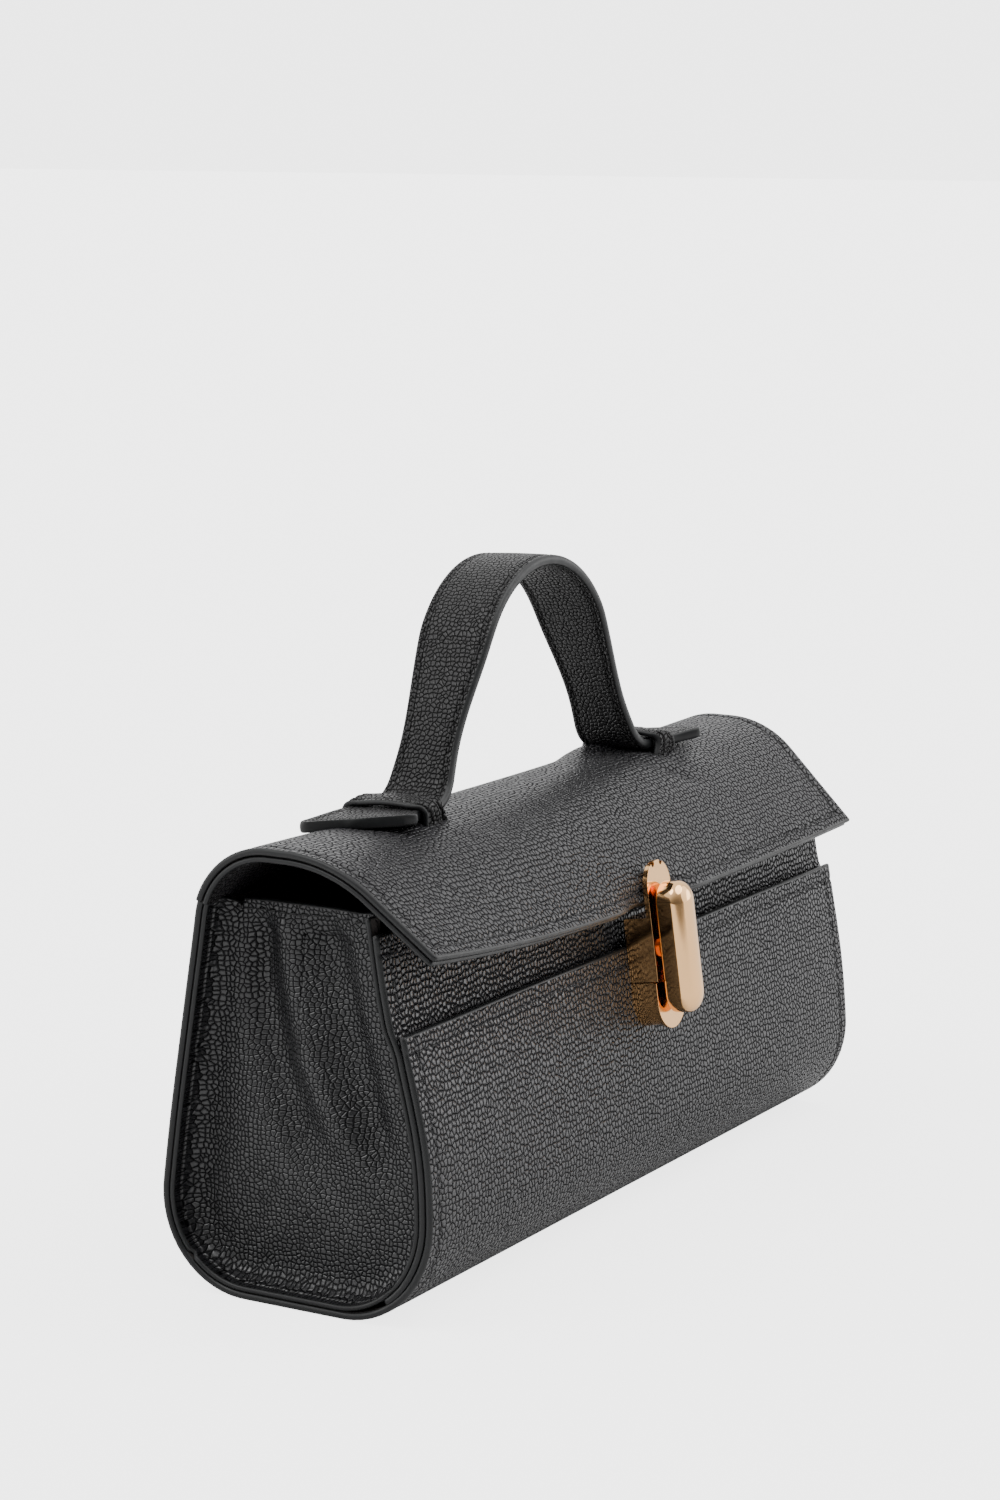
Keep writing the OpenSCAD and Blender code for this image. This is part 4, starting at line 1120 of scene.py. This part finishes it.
@dataclass
class StrapPlane:
    """Plane of the handle: it leans back about the bend behind the ridge and stands a little forward of it."""

    section: BodySection
    lean: float = 2.2
    forward: float = 1.8

    def place(self, p: Array) -> Array:
        """Points given with the strap upright, put into the leaning plane."""
        c, s = math.cos(math.radians(self.lean)), math.sin(math.radians(self.lean))
        by, bz = self.section.bend
        y, z = p[..., 1] - self.forward, p[..., 2] - bz
        return np.stack([p[..., 0], by + y * c + z * s, bz - y * s + z * c], -1)

    def turn(self, n: Array) -> Array:
        """Directions turned the same way."""
        c, s = math.cos(math.radians(self.lean)), math.sin(math.radians(self.lean))
        return np.stack([n[..., 0], n[..., 1] * c + n[..., 2] * s, -n[..., 1] * s + n[..., 2] * c], -1)


@dataclass
class Handle:
    """Strap of two sewn layers with a painted edge: arch, legs, bends at the feet, and flared ends."""

    plane: StrapPlane
    height: float = 189.9
    arch_radius: float = 40.5
    leg_slope: float = 61.4
    foot_radius: float = 11.5
    bed: float = 123.4
    thick: float = 3.2
    width: float = 24.0
    waist: float = 18.8
    waist_height: float = 144.7
    grip_base: float = 168.5
    bed_width: float = 21.4
    tail: float = 80.0
    stitch_margin: float = 2.4
    end_start: float = 66.5
    mouth: float = 74.0
    reach: float = 93.6
    end_width: float = 33.0
    end_corner: float = 3.2
    end_skew: float = 3.0
    end_gap: float = 0.1
    groove: float = 0.45
    end_groove: float = 0.22
    squash_anchor: float = 125.5
    sink: float = 22.0
    loop_taper: tuple[float, float] = (65.5, 67.5)

    def side_path(self) -> Array:
        """Outer face of the right half in X and Z, from the top down to inside the loop."""
        top = (0.0, self.height - self.arch_radius)
        arch = arc(top, self.arch_radius, 90, 90 - self.leg_slope, 34)
        slope = math.radians(self.leg_slope)
        strap_top = self.bed + self.thick
        foot_z = strap_top + self.foot_radius * (1 - math.cos(slope))
        leg_end = arch[-1] + (arch[-1][1] - foot_z) / math.sin(slope) * np.array([math.cos(slope), -math.sin(slope)])
        centre = leg_end + self.foot_radius * np.array([math.sin(slope), math.cos(slope)])
        foot = arc((centre[0], centre[1]), self.foot_radius, 270 - self.leg_slope, 270, 16)
        x = np.linspace(foot[-1][0], self.tail, 9)[1:]
        tail = np.column_stack([x, strap_top - 0.35 * ease(x, *self.loop_taper) - 0.5 * ease(x, 74, 80)])
        path = np.concatenate([arch, np.linspace(arch[-1], leg_end, 20)[1:], foot[1:], tail])
        path[:, 0] += 0.5 * bell(path[:, 1], 150, 14)
        return path

    def half_width(self, z: Array) -> Array:
        """Half of the strap's width at a height: full at the grip, narrowest at the waist, gathered at the bed."""
        down = 1 - ease(z, self.waist_height - 2, self.grip_base + 6)
        low = ease(-z, -self.waist_height + 2, -self.bed - 1)
        return (self.width - (self.width - self.waist) * down + (self.bed_width - self.waist) * low) / 2

    @staticmethod
    def outward(path: Array) -> Array:
        """Normals of a strap path on its outer side, whichever way along X it runs."""
        return normals(path) * np.sign(path[-1, 0] - path[0, 0])

    def sweep(self, name: str, path: Array, begin: float = 0.0) -> bpy.types.Object:
        """Strap swept along a path of its outer face.

        The section is a flat band: crowned faces, a groove where the stitches run, and edges rounded as half
        ellipses.

        Args:
            name: the piece's name.
            path: outer face in X and Z.
            begin: how far its first point is from the top of the handle.

        Returns:
            The object.
        """
        out = self.outward(path)
        share = np.concatenate([np.linspace(-1, -0.68, 10), np.linspace(-0.62, 0.62, 7), np.linspace(0.68, 1, 10)])
        half = self.half_width(path[:, 1]) - 0.35 * ease(np.abs(path[:, 0]), *self.loop_taper)
        face_half = half - 0.9
        y = share[None] * face_half[:, None]
        groove = self.groove * bell(half[:, None] - np.abs(y), self.stitch_margin, 0.55)
        crown = 0.22 * (1 - share**2)
        edge = np.radians(np.linspace(0, 180, 8)[1:-1])
        side = face_half[:, None] + 0.9 * np.sin(edge)
        middle, bow = -self.thick / 2, (self.thick / 2 - 0.1) * np.cos(edge)
        across = np.concatenate([y, side, y[:, ::-1], -side], 1)
        depth = np.concatenate([crown - groove - 0.1, np.broadcast_to(middle + bow, side.shape),
                                0.1 - self.thick - 0.4 * crown + groove[:, ::-1],
                                np.broadcast_to(middle - bow, side.shape)], 1)
        x, z = (path[:, None, k] + out[:, None, k] * depth for k in (0, 1))
        points = self.plane.place(np.stack([x, across, z], -1))
        marks = np.concatenate([np.zeros(len(share) - 1), np.ones(len(edge) + 1)] * 2)
        return ring_piece(name, points, marks, [STRAP_LEATHER, EDGE_PAINT], capped=True, flat=True, begin=begin)

    def stitch_rows(self, path: Array) -> list[tuple[Array, Array]]:
        """Rows near both edges, on the outer face and on the inner one."""
        out = self.outward(path)
        rows = []
        for depth, face in ((-0.22, 1), (-self.thick + 0.22, -1)):
            for s in (-1, 1):
                y = s * (self.half_width(path[:, 1]) - self.stitch_margin)
                p = np.stack([path[:, 0] + out[:, 0] * depth, y, path[:, 1] + out[:, 1] * depth], -1)
                n = np.stack([out[:, 0] * face, np.zeros(len(out)), out[:, 1] * face], -1)
                rows.append((self.plane.place(p), self.plane.turn(n)))
        return rows

    def build(self) -> None:
        """Makes the grip, the two legs and the two ends."""
        right = self.side_path()
        split = int(np.argmax(right[:, 1] < self.grip_base + 0.4))
        right[split] = np.interp(self.grip_base, right[::-1, 1], right[::-1, 0]), self.grip_base
        grip = right[: split + 1]
        arch = np.concatenate([grip[::-1] * [-1, 1], grip[1:]])
        stitching = Stitching(pitch=3.0, length=2.3)
        self.ride(self.sweep("handle_grip", arch), "handle", "handle_top", "handle_top_lining")
        self.ride(stitching.sew("handle_grip_stitches", self.stitch_rows(arch)), "handle")
        for side in Side:
            leg = right[split:] * [side.value, 1]
            piece = self.sweep(f"handle_leg_{side.word}_strap", leg, lengths(grip)[-1])
            self.ride(piece, "flap", f"handle_leg_{side.word}", f"handle_leg_lining_{side.word}")
            shown = leg[np.abs(leg[:, 0]) < 65]
            sewn = stitching.sew(f"handle_leg_{side.word}_stitches", self.stitch_rows(shown))
            self.ride(sewn, "flap")
            for part in (piece, sewn):
                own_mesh(part)
            self.end(side, stitching)

    def curl(self, x: Array, y: Array) -> Array:
        """How far the end stands up at its front corner and hangs down at its back one."""
        return ease(x, self.mouth, self.reach) * (-0.3 - 0.1 * y)

    def skewed(self, x: Array, y: Array) -> Array:
        """X of the end's points with its tip cut askew, shorter at the front."""
        return x - self.end_skew * ease(x, self.mouth, self.reach) * (1 - 2 * y / self.end_width)

    def end(self, side: Side, stitching: Stitching) -> None:
        """Flared end of the strap beyond its loop, a little curled at its tip."""
        corner_x, corner_y = self.reach - self.end_corner, self.end_width / 2 - self.end_corner
        x = np.concatenate([np.linspace(self.end_start, self.mouth, 12), np.linspace(self.mouth, corner_x, 12)[1:],
                            corner_x + self.end_corner * np.sin(np.radians(np.linspace(8, 90, 12)))])
        flare = self.bed_width / 2 + (self.end_width - self.bed_width) / 2 * np.clip((x - self.mouth)
                                                                            / (corner_x - self.mouth), 0, 1) ** 1.15
        tip = corner_y + np.sqrt(np.maximum(self.end_corner**2 - np.maximum(x - corner_x, 0) ** 2, 0))
        half = np.minimum(flare, tip)
        share = np.concatenate([np.linspace(-1, -0.7, 9), np.linspace(-0.6, 0.6, 9), np.linspace(0.7, 1, 9)])
        y = share[None] * half[:, None]
        xx = np.repeat(x[:, None], len(share), 1)
        to_edge = np.minimum(half[:, None] - np.abs(y), self.reach - xx)
        groove = self.end_groove * bell(to_edge, self.stitch_margin, 0.6)
        top = self.bed + self.thick + self.curl(xx, y)
        low = self.bed + self.end_gap + self.curl(xx, y)
        xx = self.skewed(xx, y) * side.value
        outer, inner = np.stack([xx, y, top - groove], -1), np.stack([xx, y, low], -1)
        piece = sheet_piece(f"handle_end_{side.word}_tab", self.plane.place(outer), self.plane.place(inner),
                            [STRAP_LEATHER, EDGE_PAINT, STRAP_LEATHER], (0.3, 0.35, 0.35, 0.35), 7)
        self.ride(piece, f"handle_end_{side.word}", f"handle_end_{side.word}", f"handle_end_lining_{side.word}")
        m = self.stitch_margin
        run_x = np.linspace(self.end_start + 1, corner_x, 30)
        wide = np.interp(run_x, x, half) - m
        bend = np.radians(np.linspace(0, 90, 10))
        cx, cy = corner_x + (self.end_corner - m) * np.sin(bend), corner_y + (self.end_corner - m) * np.cos(bend)
        line = np.concatenate([np.column_stack([run_x, wide]), np.column_stack([cx, cy])[1:],
                               np.column_stack([cx, -cy])[::-1], np.column_stack([run_x, -wide])[::-1][1:]])
        height = self.bed + self.thick - self.end_groove + self.curl(line[:, 0], line[:, 1])
        p = np.stack([self.skewed(line[:, 0], line[:, 1]) * side.value, line[:, 1], height], -1)
        up = np.tile([0.0, 0.0, 1.0], (len(p), 1))
        sewn = stitching.sew(f"handle_end_{side.word}_stitches", [(self.plane.place(p), self.plane.turn(up))])
        self.ride(sewn, f"handle_end_{side.word}")

    @staticmethod
    def ride(piece: bpy.types.Object, body: str, *nodes: str) -> None:
        """Lets a piece of the strap ride on a body and stand for its nodes."""
        carry(piece, "strap_leather", body, *nodes)


@dataclass
class Loop:
    """Leather loop that the strap runs through, sewn along both edges, with its feet let into the flap."""

    plane: StrapPlane
    side: Side
    start: float = 62.8
    width: float = 11.2
    fan: float = 0.74
    leather: float = 1.5
    half: float = 13.4
    top: float = 129.5
    shoulder: float = 3.0
    foot: float = 116.5
    crown: float = 1.0
    stitch_margin: float = 2.6
    sewn_above: float = 126.3

    def path(self) -> tuple[Array, Array]:
        """Outer face in Y and Z from the front foot to the back foot, and its normals.

        Two straight feet, two round shoulders and a flat crown between them.
        """
        side = self.top - self.crown - self.shoulder
        a, b = -self.half + self.shoulder, self.half - self.shoulder
        crown_x = np.linspace(a, b, 22)[1:-1]
        crown = np.column_stack([crown_x, self.top - self.crown * (crown_x / b) ** 2])
        path = np.concatenate([np.linspace([-self.half, self.foot], [-self.half, side], 10),
                               arc((a, side), self.shoulder, 180, 90, 10)[1:], crown,
                               arc((b, side), self.shoulder, 90, 0, 10),
                               np.linspace([self.half, side], [self.half, self.foot], 10)[1:]])
        path = along(path, np.linspace(0, lengths(path)[-1], 70))
        return path, normals(path)

    def build(self) -> None:
        """Makes the loop and its stitches: a band that narrows as it rises, puffed between its edges and gathered in
        small pleats over the strap's corners."""
        path, normal = self.path()
        across = spaced(self.width, 1.0, 0.4, 4.0)
        narrow = self.fan + (1 - self.fan) * ease(-path[:, 1], -127, -120)
        x = self.start + self.width - (self.width - across)[:, None] * narrow[None]
        lower = 0.7 * ease(across, 0, self.width)[:, None] * ease(path[:, 1], 123, 128)[None]
        puff = 0.35 * np.sin(np.pi * across / self.width) ** 0.7 - 0.2 * bell(np.minimum(across, self.width - across),
                                                                              2.2, 0.5)
        bend = self.half - np.abs(path[:, 0])
        pleat = 0.5 * np.sin(across[:, None] * 1.7 + 0.6) * bell(bend, 1.0, 3.5)[None]
        lift = puff[:, None] + pleat
        outer = at_x(x, path + lift[..., None] * normal)
        inner = at_x(x, path - (self.leather - 0.5 * pleat)[..., None] * normal)
        for grid in (outer, inner):
            grid[..., 0] += 0.4 * np.sin(grid[..., 1] / 9 + 0.5)
            grid[..., 2] -= lower
            grid[..., 0] *= self.side.value
        word = self.side.word
        piece = sheet_piece(f"handle_loop_{word}_band", self.plane.place(outer), self.plane.place(inner),
                            [STRAP_LEATHER, EDGE_PAINT, FLESH], (0.9, 0.9, 0, 0))
        rows = []
        use = path[:, 1] > self.sewn_above
        for k in (self.stitch_margin, self.width - self.stitch_margin):
            i = int(np.argmin(np.abs(across - k)))
            rows.append((self.plane.place(outer[i])[use], self.plane.turn(at_x(0.0, normal))[use]))
        sewn = Stitching(pitch=2.8, length=2.1).sew(f"handle_loop_{word}_stitches", rows)
        carry(piece, "strap_leather", "flap", f"handle_loop_{word}")
        carry(sewn, "strap_leather", "flap")


@dataclass
class LoopPatch:
    """Twill patch under the flap's lining that spreads the pull of a loop."""

    flap: Flap
    side: Side
    middle: float = 65.5
    half_width: float = 10.5
    inset: float = 3.95
    thick: float = 0.7

    def build(self) -> None:
        """Makes the patch as a strip of the flap's own surface, moved under the lining."""
        x = self.side.value * (self.middle + (spaced(2 * self.half_width, 2.0, 0.6, 3.0) - self.half_width))
        v = np.linspace(0.06, 0.52, 40)
        xx, vv = np.meshgrid(x, v, indexing="ij")
        outer, _ = self.flap.at(xx, vv, np.full_like(xx, self.inset))
        inner, _ = self.flap.at(xx, vv, np.full_like(xx, self.inset + self.thick))
        piece = sheet_piece(f"loop_backing_{self.side.word}_patch", outer, inner, [LINING] * 3, steps=3)
        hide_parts(f"loop_backing_{self.side.word}")
        self.flap.keep(piece, "lining")


# Lock


@dataclass
class Lock:
    """Two-part lock: front plate and box on the flap, domed slide in front, and the case on the pocket wall."""

    section: BodySection
    drop: float = 29.8
    slide_length: float = 38.5
    slide_width: float = 12.2
    slide_drop: float = 1.5
    slide_back: float = 10.2
    slide_side: float = 4.4
    slide_dome: float = 4.0
    slide_shoulder: float = 1.1
    edge_round: float = 0.9
    neck_radius: float = 3.0
    neck_straight: float = 2.0
    neck_reach: tuple[float, float] = (7.3, 10.3)
    plate_back: float = 7.5
    plate_straight: float = 33.8
    plate_radius: float = 7.1
    bevel: float = 0.15
    sharp_turn: float = 30.0
    bevel_turn: float = 35.0

    def place(self, p: Array) -> Array:
        """Points in the lock's own frame (X along the bag, Y up the wall, Z out of it) put on the front wall."""
        section = self.section
        base = np.array([section.foot_y, section.foot_radius]) + section.foot_radius * section.out
        up = (section.fold_height - self.drop - base[1]) / section.out[0]
        c, s = section.out[1], section.out[0]
        y = p[..., 1] + up
        return np.stack([p[..., 0], -base[0] + y * c - p[..., 2] * s, base[1] + y * s + p[..., 2] * c], -1)

    def local(self, p: Array) -> Array:
        """Points of the bag given in the lock's own frame: the other way round from place."""
        zero = self.place(np.zeros(3))
        c, s = self.section.out[1], self.section.out[0]
        dy, dz = p[..., 1] - zero[1], p[..., 2] - zero[2]
        return np.stack([p[..., 0], dy * c + dz * s, -dy * s + dz * c], -1)

    def obround(self, radius: float, straight: float, height: float, count: int) -> Array:
        """Outline of two half circles joined by straight sides, about the middle of the slide.

        Args:
            radius: radius of the half circles.
            straight: length of the straight sides.
            height: distance out of the wall.
            count: points on each half circle.

        Returns:
            Points in the lock's own frame.
        """
        side = np.radians(np.concatenate([np.linspace(0, 180, count), np.linspace(180, 360, count)]))
        shift = np.repeat([straight / 2, -straight / 2], count)
        return np.stack([radius * np.cos(side), radius * np.sin(side) + shift - self.slide_drop,
                         np.full(2 * count, height)], -1)

    def slide(self) -> None:
        """Pill-shaped slide: an outline of two half circles that shrinks as it rises over the dome.

        Each ring is the outline moved inwards by a distance; the last one shrinks to the line down the middle.
        """
        r = self.slide_width / 2
        straight = self.slide_length - self.slide_width
        turn = np.radians(np.linspace(0, 90, 8))
        base = self.slide_back + self.slide_side
        rise = np.linspace(0, 1, 26)[1:]
        low_round = [(r - self.edge_round * (1 - math.sin(a)), self.slide_back + self.edge_round * (1 - math.cos(a)))
                     for a in turn]
        dome = [(r * math.cos(a), base + self.slide_dome * math.sin(a) ** 0.85) for a in rise * math.pi / 2]
        profile = np.array([(0.0, self.slide_back)] + low_round + [(r, base - self.slide_shoulder)] + dome)
        profile[-1] = (0.0, base + self.slide_dome)
        rings = np.stack([self.obround(radius, straight, height, 25) for radius, height in profile])
        piece = ring_piece("lock_slide_pill", self.place(rings), np.zeros(rings.shape[1]), [GOLD])
        carry(piece, "gold", "lock_slide", "lock_slide")
        carry(self.neck(), "gold", "lock_slide")

    def neck(self) -> bpy.types.Object:
        """Obround neck between the slide and its bolt."""
        low, high = self.neck_reach
        rings = np.stack([self.obround(k * self.neck_radius, k * self.neck_straight, z, 13)
                          for k, z in ((0, low), (1, low), (1, high), (0, high))])
        return ring_piece("lock_slide_neck", self.place(rings), np.zeros(rings.shape[1]), [GOLD], flat=True)

    def machined(self, node: str, name: str, body: str, finish: Finish, slot: str) -> None:
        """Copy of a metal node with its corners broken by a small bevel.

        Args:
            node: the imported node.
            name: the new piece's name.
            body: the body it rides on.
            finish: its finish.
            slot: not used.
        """
        work = bmesh.new()
        work.from_mesh(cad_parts[node].data)
        bmesh.ops.remove_doubles(work, verts=work.verts, dist=1e-6)
        bmesh.ops.dissolve_limit(work, angle_limit=math.radians(0.5), verts=work.verts, edges=work.edges)
        bmesh.ops.recalc_face_normals(work, faces=work.faces)
        work.verts.index_update()
        mesh = bpy.data.meshes.new(name)
        mesh.from_pydata([v.co.copy() for v in work.verts], [], [[v.index for v in f.verts] for f in work.faces])
        work.free()
        mesh.materials.append(finish.material())
        mesh.polygons.foreach_set("material_index", np.zeros(len(mesh.polygons), np.int32))
        mesh.polygons.foreach_set("use_smooth", np.ones(len(mesh.polygons), bool))
        mesh.set_sharp_from_angle(angle=math.radians(self.sharp_turn))
        made = bpy.data.objects.new(name, mesh)
        bpy.context.scene.collection.objects.link(made)
        bevel = made.modifiers.new("broken_corners", "BEVEL")
        bevel.width, bevel.segments, bevel.limit_method = self.bevel * MM, 3, "ANGLE"
        bevel.angle_limit = math.radians(self.bevel_turn)
        bevel.harden_normals = True
        carry(made, slot, body, node)

    def build(self) -> None:
        """Makes the shown metal: the slide with its neck, the front plate and the lower case."""
        self.slide()
        self.machined("lock_flap_plate", "lock_front_plate", "flap", GOLD, "gold")
        self.machined("lock_case", "lock_lower_case", "bag_body", GOLD, "gold")


def finish_nodes(nodes: dict[str, Finish]) -> None:
    """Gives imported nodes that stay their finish.

    Args:
        nodes: node name to finish.
    """
    for name, finish in nodes.items():
        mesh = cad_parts[name].data
        mesh.materials.clear()
        mesh.materials.append(finish.material())
        LOG.info("%s: finished as %s", name, finish.name)


# Stage, light and camera


@dataclass
class Studio:
    """Pale floor that runs out to the horizon, wide soft lamps, and a camera fitted to the photograph.

    A lamp has a name, the direction its light goes, a strength and an angular size in degrees. A card has the
    direction it stands in, the cosine at which it begins to glow, and its glow.
    """

    lamps: tuple[tuple[str, tuple[float, float, float], float, float], ...] = (
        ("key_softbox", (-0.2, 0.6, -1.0), 2.0, 50), ("top_softbox", (0.55, -0.3, -1.0), 1.1, 30),
        ("fill_softbox", (-0.6, 0.7, -0.3), 0.8, 50))
    cards: tuple[tuple[tuple[float, float, float], float, float], ...] = (
        ((0.84, -0.53, 0.06), 0.955, 2.6), ((-0.5, 0.85, 0.12), 0.9, 2.2))
    bright_side: tuple[float, float, float] = (0.38, 0.55, 0.74)
    room_level: tuple[float, float] = (0.2, 1.6)
    floor_half: float = 30.0
    floor_colour: str = "#dcdcdc"
    back_level: float = 3.7
    lens: float = 84.657
    azimuth: float = -60.167
    elevation: float = 9.754
    roll: float = 0.446
    distance: float = 1055.563
    side_shift: float = -9.808
    up_shift: float = 130.815

    def floor(self) -> None:
        """Large plain floor at the height of the base."""
        h = self.floor_half * 1000
        points = np.array([[-h, -h, 0], [h, -h, 0], [h, h, 0], [-h, h, 0]])
        floor = put("studio_floor", points, np.array([[0, 1, 2, 3]]), np.zeros(1),
                    [BrightFloor("matte_pale_floor", self.floor_colour, 0.9)])

    def light(self) -> None:
        """Wide soft sun lamps, each turned so that its light goes the given way."""
        for name, direction, strength, size in self.lamps:
            data = bpy.data.lights.new(name, "SUN")
            data.energy, data.angle = strength, math.radians(size)
            lamp = bpy.data.objects.new(name, data)
            way = unit(np.array(direction, float))
            z = -way
            x = unit(np.cross([0.0, 0.0, 1.0], z))
            y = np.cross(z, x)
            lamp.rotation_euler = Matrix(np.stack([x, y, z], 1).tolist()).to_euler()
            bpy.context.scene.collection.objects.link(lamp)

    def room(self) -> None:
        """Room that brightens smoothly towards the back right and the ceiling, with two bright cards for the
        reflections, one in front at the right and one behind at the left. The camera sees an even pale backdrop."""
        world = bpy.data.worlds.new("studio_room")
        bpy.context.scene.world = world
        world.use_nodes = True
        tree = world.node_tree
        tree.nodes.clear()
        place = add(tree, "ShaderNodeTexCoord")
        side = add(tree, "ShaderNodeVectorMath", {0: place.outputs["Generated"], 1: self.bright_side},
                   operation="DOT_PRODUCT")
        level = add(tree, "ShaderNodeMapRange", {"Value": side.outputs["Value"], "From Min": -0.6, "From Max": 0.9,
                    "To Min": self.room_level[0], "To Max": self.room_level[1]}, interpolation_type="SMOOTHSTEP")
        for way, near, glow in self.cards:
            toward = add(tree, "ShaderNodeVectorMath", {0: place.outputs["Generated"], 1: way},
                         operation="DOT_PRODUCT")
            card = add(tree, "ShaderNodeMapRange", {"Value": toward.outputs["Value"], "From Min": near,
                       "From Max": 0.5 + 0.5 * near, "To Min": 0.0, "To Max": glow}, interpolation_type="SMOOTHSTEP")
            level = add(tree, "ShaderNodeMath", {0: level.outputs[0], 1: card.outputs[0]}, operation="ADD")
        room = add(tree, "ShaderNodeBackground", {"Color": (1, 1, 1, 1), "Strength": level.outputs[0]})
        seen = add(tree, "ShaderNodeBackground", {"Color": (1, 1, 1, 1), "Strength": self.back_level})
        rays = add(tree, "ShaderNodeLightPath")
        both = add(tree, "ShaderNodeMixShader", {0: rays.outputs["Is Camera Ray"], 1: room.outputs[0],
                   2: seen.outputs[0]})
        add(tree, "ShaderNodeOutputWorld", {"Surface": both.outputs[0]})

    def camera(self) -> None:
        """Camera at the photograph's place, from the angles, distance and shifts of the fit."""
        a, e, r = (math.radians(v) for v in (self.azimuth, self.elevation, self.roll))
        back = np.array([math.sin(a) * math.cos(e), -math.cos(a) * math.cos(e), math.sin(e)])
        right = np.array([math.cos(a), math.sin(a), 0.0])
        up = np.cross(back, right)
        right, up = right * math.cos(r) + up * math.sin(r), -right * math.sin(r) + up * math.cos(r)
        place = back * self.distance + right * self.side_shift + up * self.up_shift
        data = bpy.data.cameras.new("photo_camera")
        data.lens, data.sensor_width, data.clip_start, data.clip_end = self.lens, 36.0, 0.05, 200.0
        camera = bpy.data.objects.new("photo_camera", data)
        matrix = np.eye(4)
        matrix[:3, 0], matrix[:3, 1], matrix[:3, 2], matrix[:3, 3] = right, up, back, place * MM
        camera.matrix_world = Matrix(matrix.tolist())
        bpy.context.scene.collection.objects.link(camera)
        bpy.context.scene.camera = camera

    def build(self) -> None:
        """Makes the floor, the lamps, the room and the camera."""
        self.floor()
        self.light()
        self.room()
        self.camera()


def main() -> None:
    """Builds every sub-assembly in order."""
    logging.basicConfig(level=logging.INFO, format="%(name)s %(message)s")
    section = BodySection()
    plane = StrapPlane(section)
    Studio().build()
    body = Body(section)
    body.build()
    flap = Flap(section)
    flap.build()
    Handle(plane).build()
    for side in Side:
        EndWall(body, side).build()
        Loop(plane, side).build()
        LoopPatch(flap, side).build()
    Lock(section).build()
    finish_nodes({
        "back_board": BOARD, "base_board": BOARD, "front_board": BOARD, "lock_case_plate": STEEL,
        "lock_case_screws": STEEL, "lock_clamp_plate": STEEL, "lock_clamp_screws": STEEL, "lock_spring": STEEL,
        "lock_slide_screws": STEEL, "lock_bolt": BOLT_METAL, "lock_back_cover": BOLT_METAL,
    })


if __name__ == "__main__":
    main()
